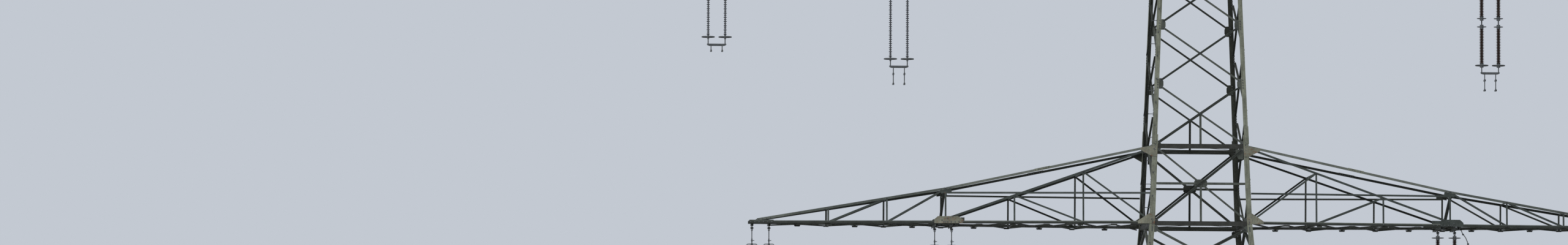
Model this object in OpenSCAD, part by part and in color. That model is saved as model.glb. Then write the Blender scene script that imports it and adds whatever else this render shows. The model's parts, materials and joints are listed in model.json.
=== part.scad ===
// Lattice transmission pylon for four circuits, as a model at half size.
// All sizes are millimetres of the model. X runs along the crossarms, Y along the line, Z up.
// The origin lies on the ground, in the middle between the four footings.

/* [Tower body] */
// Height of the lowest crossarm's bottom chord above the ground, where the legs change slope
knee_z = 11000; // [9000:50:12000]
// Half the width of the body at the knee, from the axis to a leg's outer corner
knee_half = 875; // [800:5:950]
// Inward lean of each face above the knee, per unit of height
upper_lean = 0.04; // [0.035:0.001:0.045]
// Inward lean of each face below the knee, per unit of height
lower_lean = 0.09; // [0.07:0.005:0.11]
// Height of the middle crossarm above the lowest one
middle_rise = 5250; // [5000:10:5500]
// Height of the upper crossarm above the lowest one
upper_rise = 10500; // [10100:10:11000]
// Height of the crossed bay under the knee
knee_bay = 1025; // [900:5:1150]
// Crossed bays between the knee bay and the feet
lower_bays = 6; // [5:1:7]
// Crossed bays between the lowest and the middle crossarm
middle_bays = 4; // [3:1:5]
// Crossed bays between the middle and the upper crossarm
upper_bays = 5; // [4:1:6]
// Height of the lowest joint above the ground
foot_joint = 380; // [340:5:500]
// How much higher the side faces' lowest joint lies than the front's
side_foot_lift = 90; // [60:5:150]
// Height of the earth wire peak above the upper crossarm's root
peak_rise = 1800; // [1500:10:2100]
// Half the width of the peak at its top
peak_half = 70; // [60:2:85]
// Crossed bays of the peak
peak_bays = 3; // [2:1:4]

/* [Legs] */
// Flange width of the leg angles under the splice
leg_wide = 90; // [84:1:100]
// Flange thickness of the leg angles under the splice
leg_thick = 9; // [7:0.5:11]
// Flange width of the leg angles above the splice
leg_narrow = 75; // [65:1:85]
// Flange thickness of the leg angles above the splice
leg_thin = 7; // [5:0.5:8]
// Height of the splice above the knee
splice_rise = 1500; // [1480:10:1560]
// Length of the cover angle outside each splice
splice_long = 300; // [260:10:320]
// Flange width of the peak's corner angles
peak_wide = 50; // [44:1:56]
// Flange thickness of the peak's corner angles
peak_thick = 6; // [5:0.5:7]

/* [Bracing] */
// Flange width of the diagonals above the knee
brace_wide = 32; // [26:1:36]
// Flange width of the diagonals below the knee
lower_brace_wide = 42; // [34:1:48]
// Flange width of the horizontals at the crossarms
belt_wide = 74; // [64:1:80]
// How far the middle of the lowest horizontals lies under the knee
belt_sink = 16; // [8:1:20]
// Flange width of the heavier diagonals at the crossarms, which rise to the right
heavy_wide = 42; // [36:1:48]
// Flange width of the lighter horizontals
rail_wide = 38; // [30:1:42]
// Flange thickness of the bracing angles
brace_thick = 5; // [4:0.5:6]

/* [Footings] */
// Width of a concrete footing cap at the ground
footing_wide = 620; // [560:10:700]
// Height of a concrete footing cap
footing_high = 250; // [200:10:300]
// Slope inset of the cap's top edge
footing_bevel = 50; // [30:5:80]

/* [Crossarms] */
// Distances of the inner strings from the axis, lowest crossarm first
inner_reach = [4325, 5090, 3700];
// Distances of the outer strings from the axis, lowest crossarm first
outer_reach = [7450, 8210, 6700];
// Depths of the crossarms at the body, lowest crossarm first
root_high = [1305, 1200, 1000];
// Depths of the crossarms at the inner strings, lowest crossarm first
inner_high = [590, 590, 500];
// Depth of the crossarms at the tip
tip_high = 70; // [60:5:90]
// Half the distance between the two chords at the tip
tip_half = 130; // [120:5:150]
// Length of the crossarms beyond the outer strings
tip_over = 240; // [220:5:280]
// Bays between the body and the inner strings, lowest crossarm first
inner_bays = [3, 4, 3];
// Bays between the inner and the outer strings
outer_bays = 3; // [3:1:4]
// Height of the light rail above the bottom chord
rail_rise = 500; // [420:10:540]
// Flange width of the crossarms' bottom chords
chord_wide = 46; // [42:1:54]
// Flange width of the crossarms' top chords
top_wide = 40; // [36:1:46]
// Flange width of the chords inside the crossarms
inside_wide = 36; // [32:1:42]
// How far the bottom chords reach below their crossarm's line
chord_drop = 23; // [18:1:28]
// Flange width of the posts and diagonals in the crossarms
web_wide = 30; // [26:1:36]
// Flange thickness of the crossarm angles
arm_thick = 5; // [4:0.5:6]

/* [Insulator strings] */
// Distance between the two strings of a set
twin_pitch = 290; // [270:2:310]
// Drop of the hinge pin below the chord line
pin_drop = 100; // [95:1:108]
// Radius of the hinge pins
pin_r = 8; // [7:0.5:9]
// Running clearance of the hinge pins
pin_play = 0.05; // [0.03:0.01:0.08]
// Drop of the first ring of a composite string below the chord line
composite_top = 395; // [380:5:415]
// Distances from the first to the last ring of the long and the short composite strings
composite_long = [2045, 1695];
// Drop of the first ring of a porcelain string below the chord line
porcelain_top = 190; // [180:5:210]
// Length of one porcelain rod with its caps, from ring to ring
rod_long = 665; // [640:5:690]
// Link between two porcelain rods
rod_link = 142; // [130:2:160]
// Radius of the core of a porcelain rod
rod_core = 22; // [19:1:25]
// Radius of the sheds of a porcelain rod
rod_shed = 47; // [42:1:50]
// Sheds on one porcelain rod
rod_sheds = 15; // [12:1:18]
// Radius of the shaft of a composite string
shaft_r = 9; // [8:1:12]
// Radius of the sheds of a composite string
shaft_shed = 33; // [28:1:38]
// Spacing of the sheds of a composite string
shed_pitch = 75; // [60:5:90]
// Radius of the large rings at the foot of the strings
ring_r = 105; // [95:1:115]
// Radius of the rings at the head of the strings
head_ring_r = 100; // [90:1:110]
// Radius of the small rings between two rods
small_ring_r = 76; // [66:1:84]
// Radius of the tube of the large rings
ring_tube = 10; // [8:1:12]
// Radius of the tube of the small rings
small_tube = 5.5; // [4:0.5:7]
// Distance between the conductors of a bundle
bundle_pitch = 190; // [180:2:200]
// Radius of the groove that a conductor lies in
conductor_r = 7; // [6:0.5:8]
// Length of a suspension clamp
clamp_long = 120; // [100:5:140]
// Depths of a four-conductor set's clamps below the last ring
quad_drops = [260, 430];
// Depth of a two-conductor set's clamps below the last ring
twin_drops = [240];

/* [Hidden] */

steel = [0.46, 0.48, 0.43];
shade_steel = [0.36, 0.38, 0.35];
concrete = [0.62, 0.61, 0.58];
porcelain = [0.16, 0.11, 0.09];
silicone = [0.36, 0.37, 0.39];
hot_dip = [0.55, 0.57, 0.58];

// Clearance between pieces that lie on each other
seat = 0.3;
// How far a bracing bar reaches over a leg's flange, from the corner
bar_inset = 30;
// Width and half height of the plates at the joints, and the size of their cut corners
plate_wide = 150;
plate_rise = 90;
plate_cut = 30;
// How far plates inside a leg keep from the leg's outer corner
corner_gap = 20;
// How far bars and plates keep from the joint between two lengths of a leg
edge_gap = 2;
// How far turned flanges keep from a leg's flange
leg_gap = 6;
// How far a half diagonal reaches past the middle of its belt
middle_over = 24;
// Bare ends of the hangers and half diagonals in the middle of a face
middle_bare = 40;
// Far larger than the part
huge = 40000;
// How far the plan diamonds' corners keep from the faces, in widths of their bars
plan_gap = 1.45;
// How much more than its drop under the knee a crossarm's chord keeps from a spreading leg
knee_share = 1.2;

lower_slope = sqrt(1 + lower_lean * lower_lean);
upper_slope = sqrt(1 + upper_lean * upper_lean);

// Half the width of the body at a distance v up a face from the knee
function upper_half(v) = knee_half - upper_lean * v / upper_slope;
function lower_half(v) = knee_half - lower_lean * v / lower_slope;

// Levels at which n bays of even proportion divide a tapering face between two distances up it
function even_levels(from, to, n, lean, half_from, half_to) =
    [for (i = [1:n]) from + (half_from - half_from * pow(half_to / half_from, i / n)) / lean];

arm_rises = [0, middle_rise, upper_rise];
function arm_v(i) = arm_rises[i] * upper_slope;
function root_v(i) = (arm_rises[i] + root_high[i]) * upper_slope;

// Levels of the horizontals at arm i: the highest one ends under the legs' top
belt_in = belt_wide / 2 + edge_gap;
function low_belt_v(i) = i == 0 ? -belt_sink : arm_v(i);
function high_belt_v(i) = i == 2 ? root_v(i) - belt_in : root_v(i);

upper_levels = concat(
    [low_belt_v(0), root_v(0)],
    even_levels(root_v(0), arm_v(1), middle_bays, upper_lean / upper_slope,
        upper_half(root_v(0)), upper_half(arm_v(1))),
    [root_v(1)],
    even_levels(root_v(1), arm_v(2), upper_bays, upper_lean / upper_slope,
        upper_half(root_v(1)), upper_half(arm_v(2))),
    [high_belt_v(2)]
);
foot_v = -(knee_z - foot_joint) * lower_slope;
knee_bay_v = -knee_bay * lower_slope;
lower_levels = concat(
    [0, knee_bay_v],
    even_levels(knee_bay_v, foot_v, lower_bays, lower_lean / lower_slope,
        lower_half(knee_bay_v), lower_half(foot_v))
);

// Where the faces under the knee end, below the lowest horizontals
lower_top = -belt_sink - belt_wide / 2 - edge_gap;

// Level at which the diagonals of a bay cross
function crossing(v0, v1, w0, w1) = v0 + (v1 - v0) * w0 / (w0 + w1);

// Points and directions in a plane
function along(a, b) = (b - a) / norm(b - a);
function left_of(d) = [-d[1], d[0]];
function at_u(a, b, u) = a + (b - a) * (u - a[0]) / (b[0] - a[0]);
function shifted(a, b, d) = a + along(a, b) * d;

// A strip beside the line from a to b, between two offsets to its left
module strip(a, b, low, high) {
    n = left_of(along(a, b));
    polygon([a + n * low, b + n * low, b + n * high, a + n * high]);
}

// Puts a drawing on face k of the body: x across, y up the face from the knee, z outwards
module on_face(k, lean, half = knee_half, z = knee_z) {
    rotate([0, 0, 90 * k])
        translate([0, -half, z])
        rotate([90 - atan(lean), 0, 0])
        children();
}

// The turned flange of an angle bar stands this far inside the flat flange's edge
heel_step = 1;

// The turned flanges of bars, down from z = 0 or up from it.
// A bar is [start, end, how much of it from the start has no turned flange, and from the end].
module turned(bars, wide, thick, upwards = false) {
    translate([0, 0, upwards ? 0 : -wide])
        linear_extrude(wide)
        for (b = bars)
            strip(shifted(b[0], b[1], b[2]), shifted(b[1], b[0], b[3]),
                heel_step - wide / 2, heel_step - wide / 2 + thick);
}

module flats(bars, wide) {
    for (b = bars) strip(b[0], b[1], -wide / 2, wide / 2);
}

// A bar from side to side of a face, its turned flange kept clear of both legs' flanges
function face_bar(a, b, keep) =
    let (share = keep * norm(b - a) / abs(b[0] - a[0])) [a, b, share, share];

function diagonal(v0, v1, w0, w1, way, keep) =
    face_bar([-way * (w0 - bar_inset), v0], [way * (w1 - bar_inset), v1], keep);

// A bar from one side that ends just past the middle
function half_diagonal(v0, v1, w0, way, keep) =
    let (
        a = [-way * (w0 - bar_inset), v0],
        b = at_u(a, [0, v1], way * middle_over),
        slant = norm(b - a) / abs(b[0] - a[0])
    )
    [a, b, keep * slant, middle_bare * slant];

function belt(v, w, keep) = face_bar([bar_inset - w, v], [w - bar_inset, v], keep);
function mirrored_bar(b) = [b[1], b[0], b[3], b[2]];

// Plates on both legs where bars meet at level v, reaching up and down from it
module joint_plates(v, w, up, down) {
    for (side = [-1, 1])
        translate([side * w, v])
        polygon([
            [-side * corner_gap, up], [-side * corner_gap, -down], [-side * (plate_wide - plate_cut), -down],
            [-side * plate_wide, -down * 0.4], [-side * plate_wide, up * 0.4],
            [-side * (plate_wide - plate_cut), up]
        ]);
}

// One L-shaped corner angle of the body, from height z0 to z1, both above its own base level
module corner_angle(half, lean, z0, z1, wide, thick) {
    d = [lean, lean, 1] / norm([lean, lean, 1]);
    e = [1 - d[0] * d[0], -d[0] * d[1], -d[0] * d[2]] / sqrt(1 - d[0] * d[0]);
    n = cross(d, e);
    f = [-d[0] * d[1], 1 - d[1] * d[1], -d[1] * d[2]] / sqrt(1 - d[1] * d[1]);
    turn = acos(e * f);
    other = [cos(turn), sin(turn)];
    inside = [sin(turn), -cos(turn)];
    long = (z1 - z0) / d[2] + 4 * wide;
    intersection() {
        multmatrix([
            [e[0], n[0], d[0], -half],
            [e[1], n[1], d[1], -half],
            [e[2], n[2], d[2], 0],
            [0, 0, 0, 1]
        ])
            translate([0, 0, z0 / d[2] - 2 * wide])
            linear_extrude(long)
            polygon([
                [0, 0], [wide, 0], [wide, thick], ([1, 0] + other) * thick / sin(turn),
                other * wide + inside * thick, other * wide
            ]);
        translate([-huge / 2, -huge / 2, z0]) cube([huge, huge, z1 - z0]);
    }
}

module footings() {
    top_wide = footing_wide - 2 * footing_bevel;
    spread = lower_half(-knee_z * lower_slope) - leg_wide / 2;
    block_high = footing_high - footing_bevel;
    color(concrete)
        for (k = [0:3]) rotate([0, 0, 90 * k])
            translate([-spread, -spread, 0]) {
                translate([-footing_wide / 2, -footing_wide / 2, 0])
                    cube([footing_wide, footing_wide, block_high]);
                translate([0, 0, block_high])
                    rotate([0, 0, 45])
                    cylinder(h = footing_bevel, r1 = footing_wide / sqrt(2), r2 = top_wide / sqrt(2),
                        $fn = 4);
            }
}

// One leg: the heavy lower angles, the lighter upper one and the cover outside their splice
module leg(k) {
    top = arm_rises[2] + root_high[2];
    cover_half = knee_half + leg_thin + seat;
    color(steel)
        translate([0, 0, knee_z])
        rotate([0, 0, 90 * k]) {
            corner_angle(knee_half, lower_lean, footing_high - knee_z + seat, -seat, leg_wide, leg_thick);
            corner_angle(knee_half, upper_lean, seat, splice_rise - seat, leg_wide, leg_thick);
            corner_angle(knee_half, upper_lean, splice_rise, top, leg_narrow, leg_thin);
            corner_angle(cover_half, upper_lean, splice_rise - splice_long / 2,
                splice_rise + splice_long / 2, leg_narrow, leg_thin);
        }
}

// The levels at which the side faces' bars meet the legs: the crossings of the front ones
function staggered(levels, halves) =
    [for (i = [0:len(levels) - 2]) crossing(levels[i], levels[i + 1], halves[i], halves[i + 1])];

upper_halves = [for (v = upper_levels) upper_half(v)];
lower_halves = [for (v = lower_levels) lower_half(v)];
belt_vs = [for (i = [0:2]) each [low_belt_v(i), high_belt_v(i)]];
// Bays of the front faces that stand between a crossarm's chords
arm_bays = [0, middle_bays + 1, middle_bays + upper_bays + 2];

// In both kinds of panel the bars that rise to the left turn their flange inwards, the others outwards
module upper_panel(levels, ends_in_middle) {
    keep = leg_wide - bar_inset + leg_gap + brace_wide / 2;
    last = len(levels) - 1;
    top = root_v(2) - edge_gap;
    t = brace_thick;
    w = [for (v = levels) upper_half(v)];
    all_right = [for (i = [0:last - 1]) diagonal(levels[i], levels[i + 1], w[i], w[i + 1], 1, keep)];
    heavy = ends_in_middle ? [] : [for (i = arm_bays) all_right[i]];
    to_right = ends_in_middle
        ? all_right
        : [for (i = [0:last - 1]) if (len(search(i, arm_bays)) == 0) all_right[i]];
    to_left = [for (i = [0:last - 1]) diagonal(levels[i], levels[i + 1], w[i], w[i + 1], -1, keep)];
    ends = ends_in_middle
        ? [for (way = [-1, 1]) each [
            half_diagonal(levels[0], low_belt_v(0), w[0], way, keep),
            half_diagonal(levels[last], high_belt_v(2), w[last], way, keep)]]
        : [];
    belts = [for (v = belt_vs) belt(v, upper_half(v), keep)];
    rails = ends_in_middle ? [] : arm_rails(keep);
    translate([0, 0, -leg_thick - seat]) {
        translate([0, 0, -t])
            linear_extrude(t) {
                flats(concat(to_right, to_left, ends), brace_wide);
                flats(heavy, heavy_wide);
                flats(belts, belt_wide);
                flats(rails, rail_wide);
                for (v = levels)
                    joint_plates(v, upper_half(v), min(plate_rise, top - v), min(plate_rise, v - lower_top));
            }
        turned(concat(to_left, ends), brace_wide, t);
        translate([0, 0, -t]) turned([for (b = to_right) mirrored_bar(b)], brace_wide, t, true);
        translate([0, 0, -t]) turned([for (b = heavy) mirrored_bar(b)], heavy_wide, t, true);
        turned(belts, belt_wide, t);
        turned(rails, rail_wide, t);
    }
}

// Light bars of the bays at the crossarms: a horizontal through the crossing and two hangers
function arm_rails(keep) = [
    for (i = [0:2])
        let (
            v0 = low_belt_v(i),
            v1 = high_belt_v(i),
            middle = crossing(v0, v1, upper_half(v0), upper_half(v1))
        )
        each [belt(middle, upper_half(middle), keep), hanger(v0, middle)],
    for (i = [0:1])
        let (
            v1 = root_v(i),
            v2 = upper_levels[[2, middle_bays + 3][i]],
            middle = crossing(v1, v2, upper_half(v1), upper_half(v2))
        )
        hanger(v1, middle)
];

// A bar in the middle of a face, between two levels
function hanger(v0, v1) = [[0, v0], [0, v1], middle_bare, middle_bare];

module lower_panel(levels, ends_in_middle) {
    keep = leg_wide - bar_inset + leg_gap + lower_brace_wide / 2;
    last = len(levels) - 1;
    t = brace_thick;
    w = [for (v = levels) lower_half(v)];
    to_left = [for (i = [0:last - 1]) diagonal(levels[i], levels[i + 1], w[i], w[i + 1], 1, keep)];
    to_right = [for (i = [0:last - 1]) diagonal(levels[i], levels[i + 1], w[i], w[i + 1], -1, keep)];
    ends = ends_in_middle
        ? [for (way = [-1, 1]) half_diagonal(levels[0], lower_top - lower_brace_wide, w[0], way, keep)]
        : [];
    translate([0, 0, -leg_thick - seat]) {
        translate([0, 0, -t])
            linear_extrude(t) {
                flats(concat(to_right, to_left, ends), lower_brace_wide);
                for (v = levels)
                    joint_plates(v, lower_half(v), min(plate_rise, lower_top - edge_gap - v), plate_rise);
            }
        turned(concat([for (b = to_left) mirrored_bar(b)], ends), lower_brace_wide, t);
        translate([0, 0, -t]) turned(to_right, lower_brace_wide, t, true);
    }
}

module upper_bracing(k) {
    color(shade_steel)
        on_face(k, upper_lean)
        if (k % 2 == 0) upper_panel(upper_levels, false);
        else upper_panel(staggered(upper_levels, upper_halves), true);
}

module lower_bracing(k) {
    side_levels = staggered(lower_levels, lower_halves);
    keep_levels = [for (i = [0:len(side_levels) - 2]) side_levels[i]];
    color(shade_steel)
        on_face(k, lower_lean)
        if (k % 2 == 0)
            lower_panel([for (v = lower_levels) v == 0 ? lower_top - lower_brace_wide / 2 - edge_gap : v],
                false);
        else lower_panel(concat(keep_levels, [foot_v + side_foot_lift]), true);
}

// Diamonds that stiffen the body at each crossarm, their corners clear of the faces' inward flanges
module plan_bracing() {
    color(shade_steel)
        for (v = belt_vs) {
            half = upper_half(v) - leg_thick - seat - plan_gap * brace_wide;
            z = knee_z + (v - belt_wide / 2 + heel_step + brace_thick) / upper_slope
                + belt_wide * upper_lean + seat;
            translate([0, 0, z])
                linear_extrude(brace_thick)
                for (k = [0:3]) rotate([0, 0, 90 * k])
                    strip([0, -half], [half, 0], -brace_wide / 2, brace_wide / 2);
        }
}

// The peak over the body: four corner angles, crossed bars between them, the top plate and the wire's lug
peak_z = knee_z + arm_rises[2] + root_high[2];
peak_base = upper_half(root_v(2));
peak_lean = (peak_base - peak_half) / peak_rise;
peak_slope = sqrt(1 + peak_lean * peak_lean);
function peak_width(v) = peak_base - peak_lean * v / peak_slope;
top_plate = 8;
wire_lug = [12, 60, 90];
wire_hole_r = 10;

module peak_panel() {
    t = brace_thick;
    over = peak_wide / 2;
    low = edge_gap + web_wide;
    high = peak_rise * peak_slope - peak_wide;
    levels = concat([low], even_levels(low, high, peak_bays, peak_lean / peak_slope,
        peak_width(low), peak_width(high)));
    translate([0, 0, -peak_thick - seat - t])
        linear_extrude(t) {
            for (i = [0:peak_bays - 1], side = [-1, 1]) {
                a = [-side * (peak_width(levels[i]) - over), levels[i]];
                b = [side * (peak_width(levels[i + 1]) - over), levels[i + 1]];
                strip(a, b, -web_wide / 2, web_wide / 2);
            }
            strip([over - peak_width(low), low], [peak_width(low) - over, low], -web_wide / 2, web_wide / 2);
        }
}

module earth_wire_peak() {
    color(steel)
        translate([0, 0, peak_z]) {
            for (k = [0:3]) {
                rotate([0, 0, 90 * k])
                    corner_angle(peak_base, peak_lean, seat, peak_rise, peak_wide, peak_thick);
                on_face(k, peak_lean, peak_base, 0) peak_panel();
            }
            translate([-peak_half, -peak_half, peak_rise + seat])
                cube([2 * peak_half, 2 * peak_half, top_plate]);
            translate([0, 0, peak_rise + seat + top_plate])
                difference() {
                    translate([-wire_lug[0] / 2, -wire_lug[1] / 2, 0]) cube(wire_lug);
                    translate([0, 0, wire_lug[2] - wire_lug[1] / 2])
                        rotate([0, 90, 0])
                        cylinder(h = 3 * wire_lug[0], r = wire_hole_r, center = true, $fn = 32);
                }
        }
}

// Crossarms: i is 0 for the lowest, 1 for the middle and 2 for the upper one.
// Each is drawn on the right, its near truss first, and mirrored for the rest.

// Half the depth of the body where arm i's bottom chord leaves it
function arm_half(i) = knee_half - upper_lean * arm_rises[i];
function arm_end(i) = outer_reach[i] + tip_over;
// How fast the two trusses of an arm draw together towards the tip
function taper(i) = (arm_half(i) - tip_half) / (arm_end(i) - arm_half(i));
// Half the distance between the two bottom chords at a distance x from the axis
function chord_y(i, x) = arm_half(i) - taper(i) * (x - arm_half(i));

// Directions of a truss: out along the chord, up, and square to both on its outer side
function chord_dir(i) = [1, taper(i), 0] / norm([1, taper(i), 0]);
corner_dir = [-upper_lean, upper_lean, 1];
function rise_dir(i) =
    let (d = corner_dir - (corner_dir * chord_dir(i)) * chord_dir(i)) d / norm(d);

// The place in a truss of the point at distance x from the axis and height z over the chord
function on_truss(i, x, z) =
    let (up = rise_dir(i), v = z / up[2])
    [(x - arm_half(i) - v * up[0]) / chord_dir(i)[0], v];

module on_side(i) {
    e = chord_dir(i);
    up = rise_dir(i);
    n = cross(e, up);
    multmatrix([
        [e[0], up[0], n[0], arm_half(i)],
        [e[1], up[1], n[1], -arm_half(i)],
        [e[2], up[2], n[2], 0],
        [0, 0, 0, 1]
    ])
        children();
}

// Places of the posts: inner ones from the leg to the inner strings, then out to the tip
leg_middle = 45;
function inner_x(i, j) =
    let (x0 = arm_half(i) - leg_middle) x0 + (inner_reach[i] - x0) * j / inner_bays[i];
function last_x(i) = outer_reach[i] - twin_pitch / 2;
function outer_x(i, j) = inner_reach[i] + (last_x(i) - inner_reach[i]) * j / outer_bays;

// Heights of the top chord and of the lower inside chord
function top_z(i, x) =
    let (x0 = arm_half(i), xi = inner_reach[i], xo = outer_reach[i])
    x < xi
        ? root_high[i] + (inner_high[i] - root_high[i]) * (x - x0) / (xi - x0)
        : inner_high[i] + (tip_high - inner_high[i]) * (x - xi) / (xo - xi);
function low_z(i, x) =
    let (x0 = arm_half(i) - leg_middle, x1 = inner_reach[i] + twin_pitch / 2)
    (root_high[i] - top_wide) * (x1 - x) / (x1 - x0);

// Points on a truss: over the bottom chord's line, under the top chord's and on the inside one's
function bottom(i, x, lift) = on_truss(i, x, lift);
function top(i, x, drop) = on_truss(i, x, top_z(i, x) - drop);
function low(i, x) = on_truss(i, x, low_z(i, x));
tip_out = 60;
function tip_x(i) = outer_reach[i] + twin_pitch / 2 + tip_out;

// Keeps a truss clear of the leg that carries it, also where its inner flanges slant towards the leg
// and where the leg leans out more under the knee
module beyond_leg(i) {
    e = chord_dir(i);
    c = [corner_dir * e, corner_dir * rise_dir(i)];
    far = 3 * root_high[i];
    clear = seat + (chord_wide + arm_thick) * taper(i) + knee_share * chord_drop * (lower_lean - upper_lean);
    intersection() {
        union() children();
        translate([0, 0, -3 * chord_wide])
            linear_extrude(6 * chord_wide)
            polygon([
                [clear - c[0] * far, -c[1] * far], [2 * arm_end(i), -c[1] * far],
                [2 * arm_end(i), c[1] * far], [clear + c[0] * far, c[1] * far]
            ]);
    }
}

// Half the butt joint between the two lengths of a top chord
chord_gap = 2;
// How far the bars at the root are drawn into the leg, before they are cut off at it
root_over = 120;

// How far the top chord runs on past the outer strings
top_over = 72;
// Plates where bars meet: at the foot and the head of the inner post, and at the tip
foot_plate = [320, 60, 92];
head_plate = [90, 90, 85];
tip_plate = [215, 50];
plate_inset = 8;

// One side truss of an arm, chords outside and web inside
module arm_side(i) {
    t = arm_thick;
    c = chord_wide;
    d = top_wide;
    xi = inner_reach[i];
    xo = outer_reach[i];
    x0 = arm_half(i) - root_over;
    x1 = xi + twin_pitch / 2;
    n = inner_bays[i];
    foot = c / 2 - chord_drop;
    head = d / 2;
    lines = concat(
        [for (j = [1:n - 1]) [bottom(i, inner_x(i, j), foot), low(i, inner_x(i, j))]],
        [for (j = [1:n - 1]) [low(i, inner_x(i, j)), bottom(i, inner_x(i, j - 1), foot)]],
        [[bottom(i, xi, foot), top(i, xi, head)]],
        [for (j = [1:outer_bays - 1]) [bottom(i, outer_x(i, j), foot), top(i, outer_x(i, j), head)]],
        [for (j = [1:outer_bays - 1]) [top(i, outer_x(i, j - 1), head), bottom(i, outer_x(i, j), foot)]],
        [[bottom(i, x0, rail_rise), bottom(i, xi, rail_rise)]]
    );
    webs = [for (b = lines) [b[0], b[1], c, c]];
    long_chord = [bottom(i, x0, -chord_drop), bottom(i, tip_x(i), -chord_drop)];
    top_chords = [
        [shifted(top(i, xi, 0), top(i, x0, 0), chord_gap), top(i, x0, 0)],
        [top(i, xo + top_over, 0), shifted(top(i, xi, 0), top(i, xo + top_over, 0), chord_gap)]
    ];
    sub_chord = [[low(i, x1), low(i, x0), 0, 0]];
    on_side(i) beyond_leg(i) {
        translate([0, 0, -t])
            linear_extrude(t) {
                strip(long_chord[0], long_chord[1], 0, c);
                for (b = top_chords) strip(b[0], b[1], 0, d);
            }
        translate([0, 0, -c]) linear_extrude(c) strip(long_chord[0], long_chord[1], 0, t);
        translate([0, 0, -d]) linear_extrude(d) for (b = top_chords) strip(b[0], b[1], 0, t);
        translate([0, 0, -2 * t])
            linear_extrude(t) {
                flats(sub_chord, inside_wide);
                flats(webs, web_wide);
                plate(i, xi - foot_plate[0], xi + foot_plate[1], foot_plate[2]);
                plate(i, xo - tip_plate[0], tip_x(i) - plate_inset, tip_plate[1]);
                strip(top(i, xi - head_plate[0], plate_inset), top(i, xi + head_plate[1], plate_inset),
                    -head_plate[2], 0);
            }
        translate([0, 0, -t]) turned(sub_chord, inside_wide, t);
        translate([0, 0, -t]) turned(webs, web_wide, t);
    }
}

// A plate on the inner side of the bottom chord, between two distances from the axis
module plate(i, x0, x1, high) {
    low = plate_inset - chord_drop;
    strip(bottom(i, x0, low), bottom(i, x1, low), 0, high);
}

// The frame across an arm at its inner strings: a strut at the head and a diagonal down to the other foot
frame_wide = 34;
frame_in = 16;
module arm_frame(i) {
    x = inner_reach[i];
    high = inner_high[i] - top_wide;
    y0 = chord_y(i, x) - frame_in;
    y1 = chord_y(i, x) - upper_lean * high - frame_in;
    translate([x - arm_thick / 2, 0, 0])
        rotate([90, 0, 90])
        linear_extrude(arm_thick) {
            strip([-y1, high], [y1, high], -frame_wide / 2, frame_wide / 2);
            strip([-y1, high], [y0, frame_in], -frame_wide / 2, frame_wide / 2);
        }
}

// How far the chords' inner flanges dip under the chord line
chord_dip = chord_drop + chord_wide * upper_lean + 2 * seat;

// The bottom plane's bars: their width, how far they reach over the chords, and where they start
floor_wide = 26;
floor_in = 14;
floor_start = 30;

// Places of the zigzag in the bottom plane, from side to side
function zigzag_x(i) = concat(
    [for (j = [0:2 * inner_bays[i]])
        arm_half(i) + floor_start + (inner_reach[i] - arm_half(i) - floor_start) * j / (2 * inner_bays[i])],
    [for (j = [1:2 * outer_bays])
        inner_reach[i] + (last_x(i) - inner_reach[i]) * j / (2 * outer_bays)]
);

module arm_floor(i) {
    t = arm_thick;
    xs = zigzag_x(i);
    zig = [for (j = [0:len(xs) - 1]) [xs[j], (j % 2 == 0 ? -1 : 1) * (chord_y(i, xs[j]) - floor_in)]];
    translate([0, 0, -chord_dip - t]) {
        linear_extrude(t) {
            for (j = [0:len(zig) - 2]) strip(zig[j], zig[j + 1], -floor_wide / 2, floor_wide / 2);
            for (j = [1:inner_bays[i] - 1]) cross_strip(i, inner_x(i, j));
            for (j = [1:outer_bays - 1]) cross_strip(i, outer_x(i, j));
        }
        for (x = hang_x(i)) hanger_beam(i, x);
    }
}

module cross_strip(i, x) {
    y = chord_y(i, x) - floor_in;
    translate([x - floor_wide / 2, -y]) square([floor_wide, 2 * y]);
}

// Distances from the axis at which the strings hang
function hang_x(i) =
    [for (r = [inner_reach[i], outer_reach[i]], d = [-1, 1]) r + d * twin_pitch / 2];

// Channel across the arm that a string hangs from, with the lug in its middle
beam_high = 40;
beam_wide = 36;
lug_thick = 12;
lug_r = 24;
module hanger_beam(i, x) {
    t = arm_thick;
    y = chord_y(i, x) - floor_in;
    pin_z = chord_dip + t - pin_drop;
    translate([x, 0, 0]) {
        rotate([90, 0, 0])
            translate([0, 0, -y])
            linear_extrude(2 * y)
            polygon([
                [-beam_wide / 2, t], [beam_wide / 2, t], [beam_wide / 2, t - beam_high],
                [beam_wide / 2 - t, t - beam_high], [beam_wide / 2 - t, 0],
                [-beam_wide / 2 + t, 0], [-beam_wide / 2 + t, t - beam_high],
                [-beam_wide / 2, t - beam_high]
            ]);
        difference() {
            union() {
                translate([-lug_thick / 2, -lug_r, pin_z]) cube([lug_thick, 2 * lug_r, -pin_z]);
                translate([0, 0, pin_z])
                    rotate([0, 90, 0])
                    cylinder(h = lug_thick, r = lug_r, center = true, $fn = 48);
            }
            translate([0, 0, pin_z])
                rotate([0, 90, 0])
                cylinder(h = 3 * lug_thick, r = pin_r + pin_play, center = true, $fn = 48);
        }
    }
}

module crossarm(i, left) {
    color(steel)
        translate([0, 0, knee_z + arm_rises[i]])
        mirror([left ? 1 : 0, 0, 0]) {
            arm_side(i);
            mirror([0, 1, 0]) arm_side(i);
            arm_frame(i);
            arm_floor(i);
        }
}

// Insulator strings: two side by side, composite on the left and porcelain on the right.
// z runs down from the arm's chord line.

function reach_of(i, inner) = inner ? inner_reach[i] : outer_reach[i];
function is_quad(i, inner) = inner && i < 2;
function composite_span(i, inner) = composite_long[is_quad(i, inner) ? 0 : 1];
function rods(i, inner) = is_quad(i, inner) ? 3 : 2;
rod_pitch = rod_long + rod_link;
function last_ring(i, left, inner) =
    left
        ? composite_top + composite_span(i, inner)
        : porcelain_top + rods(i, inner) * rod_pitch - rod_link;
cap_over = 35;

module at_set(i, left, inner) {
    translate([(left ? -1 : 1) * reach_of(i, inner), 0, knee_z + arm_rises[i]]) children();
}

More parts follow.
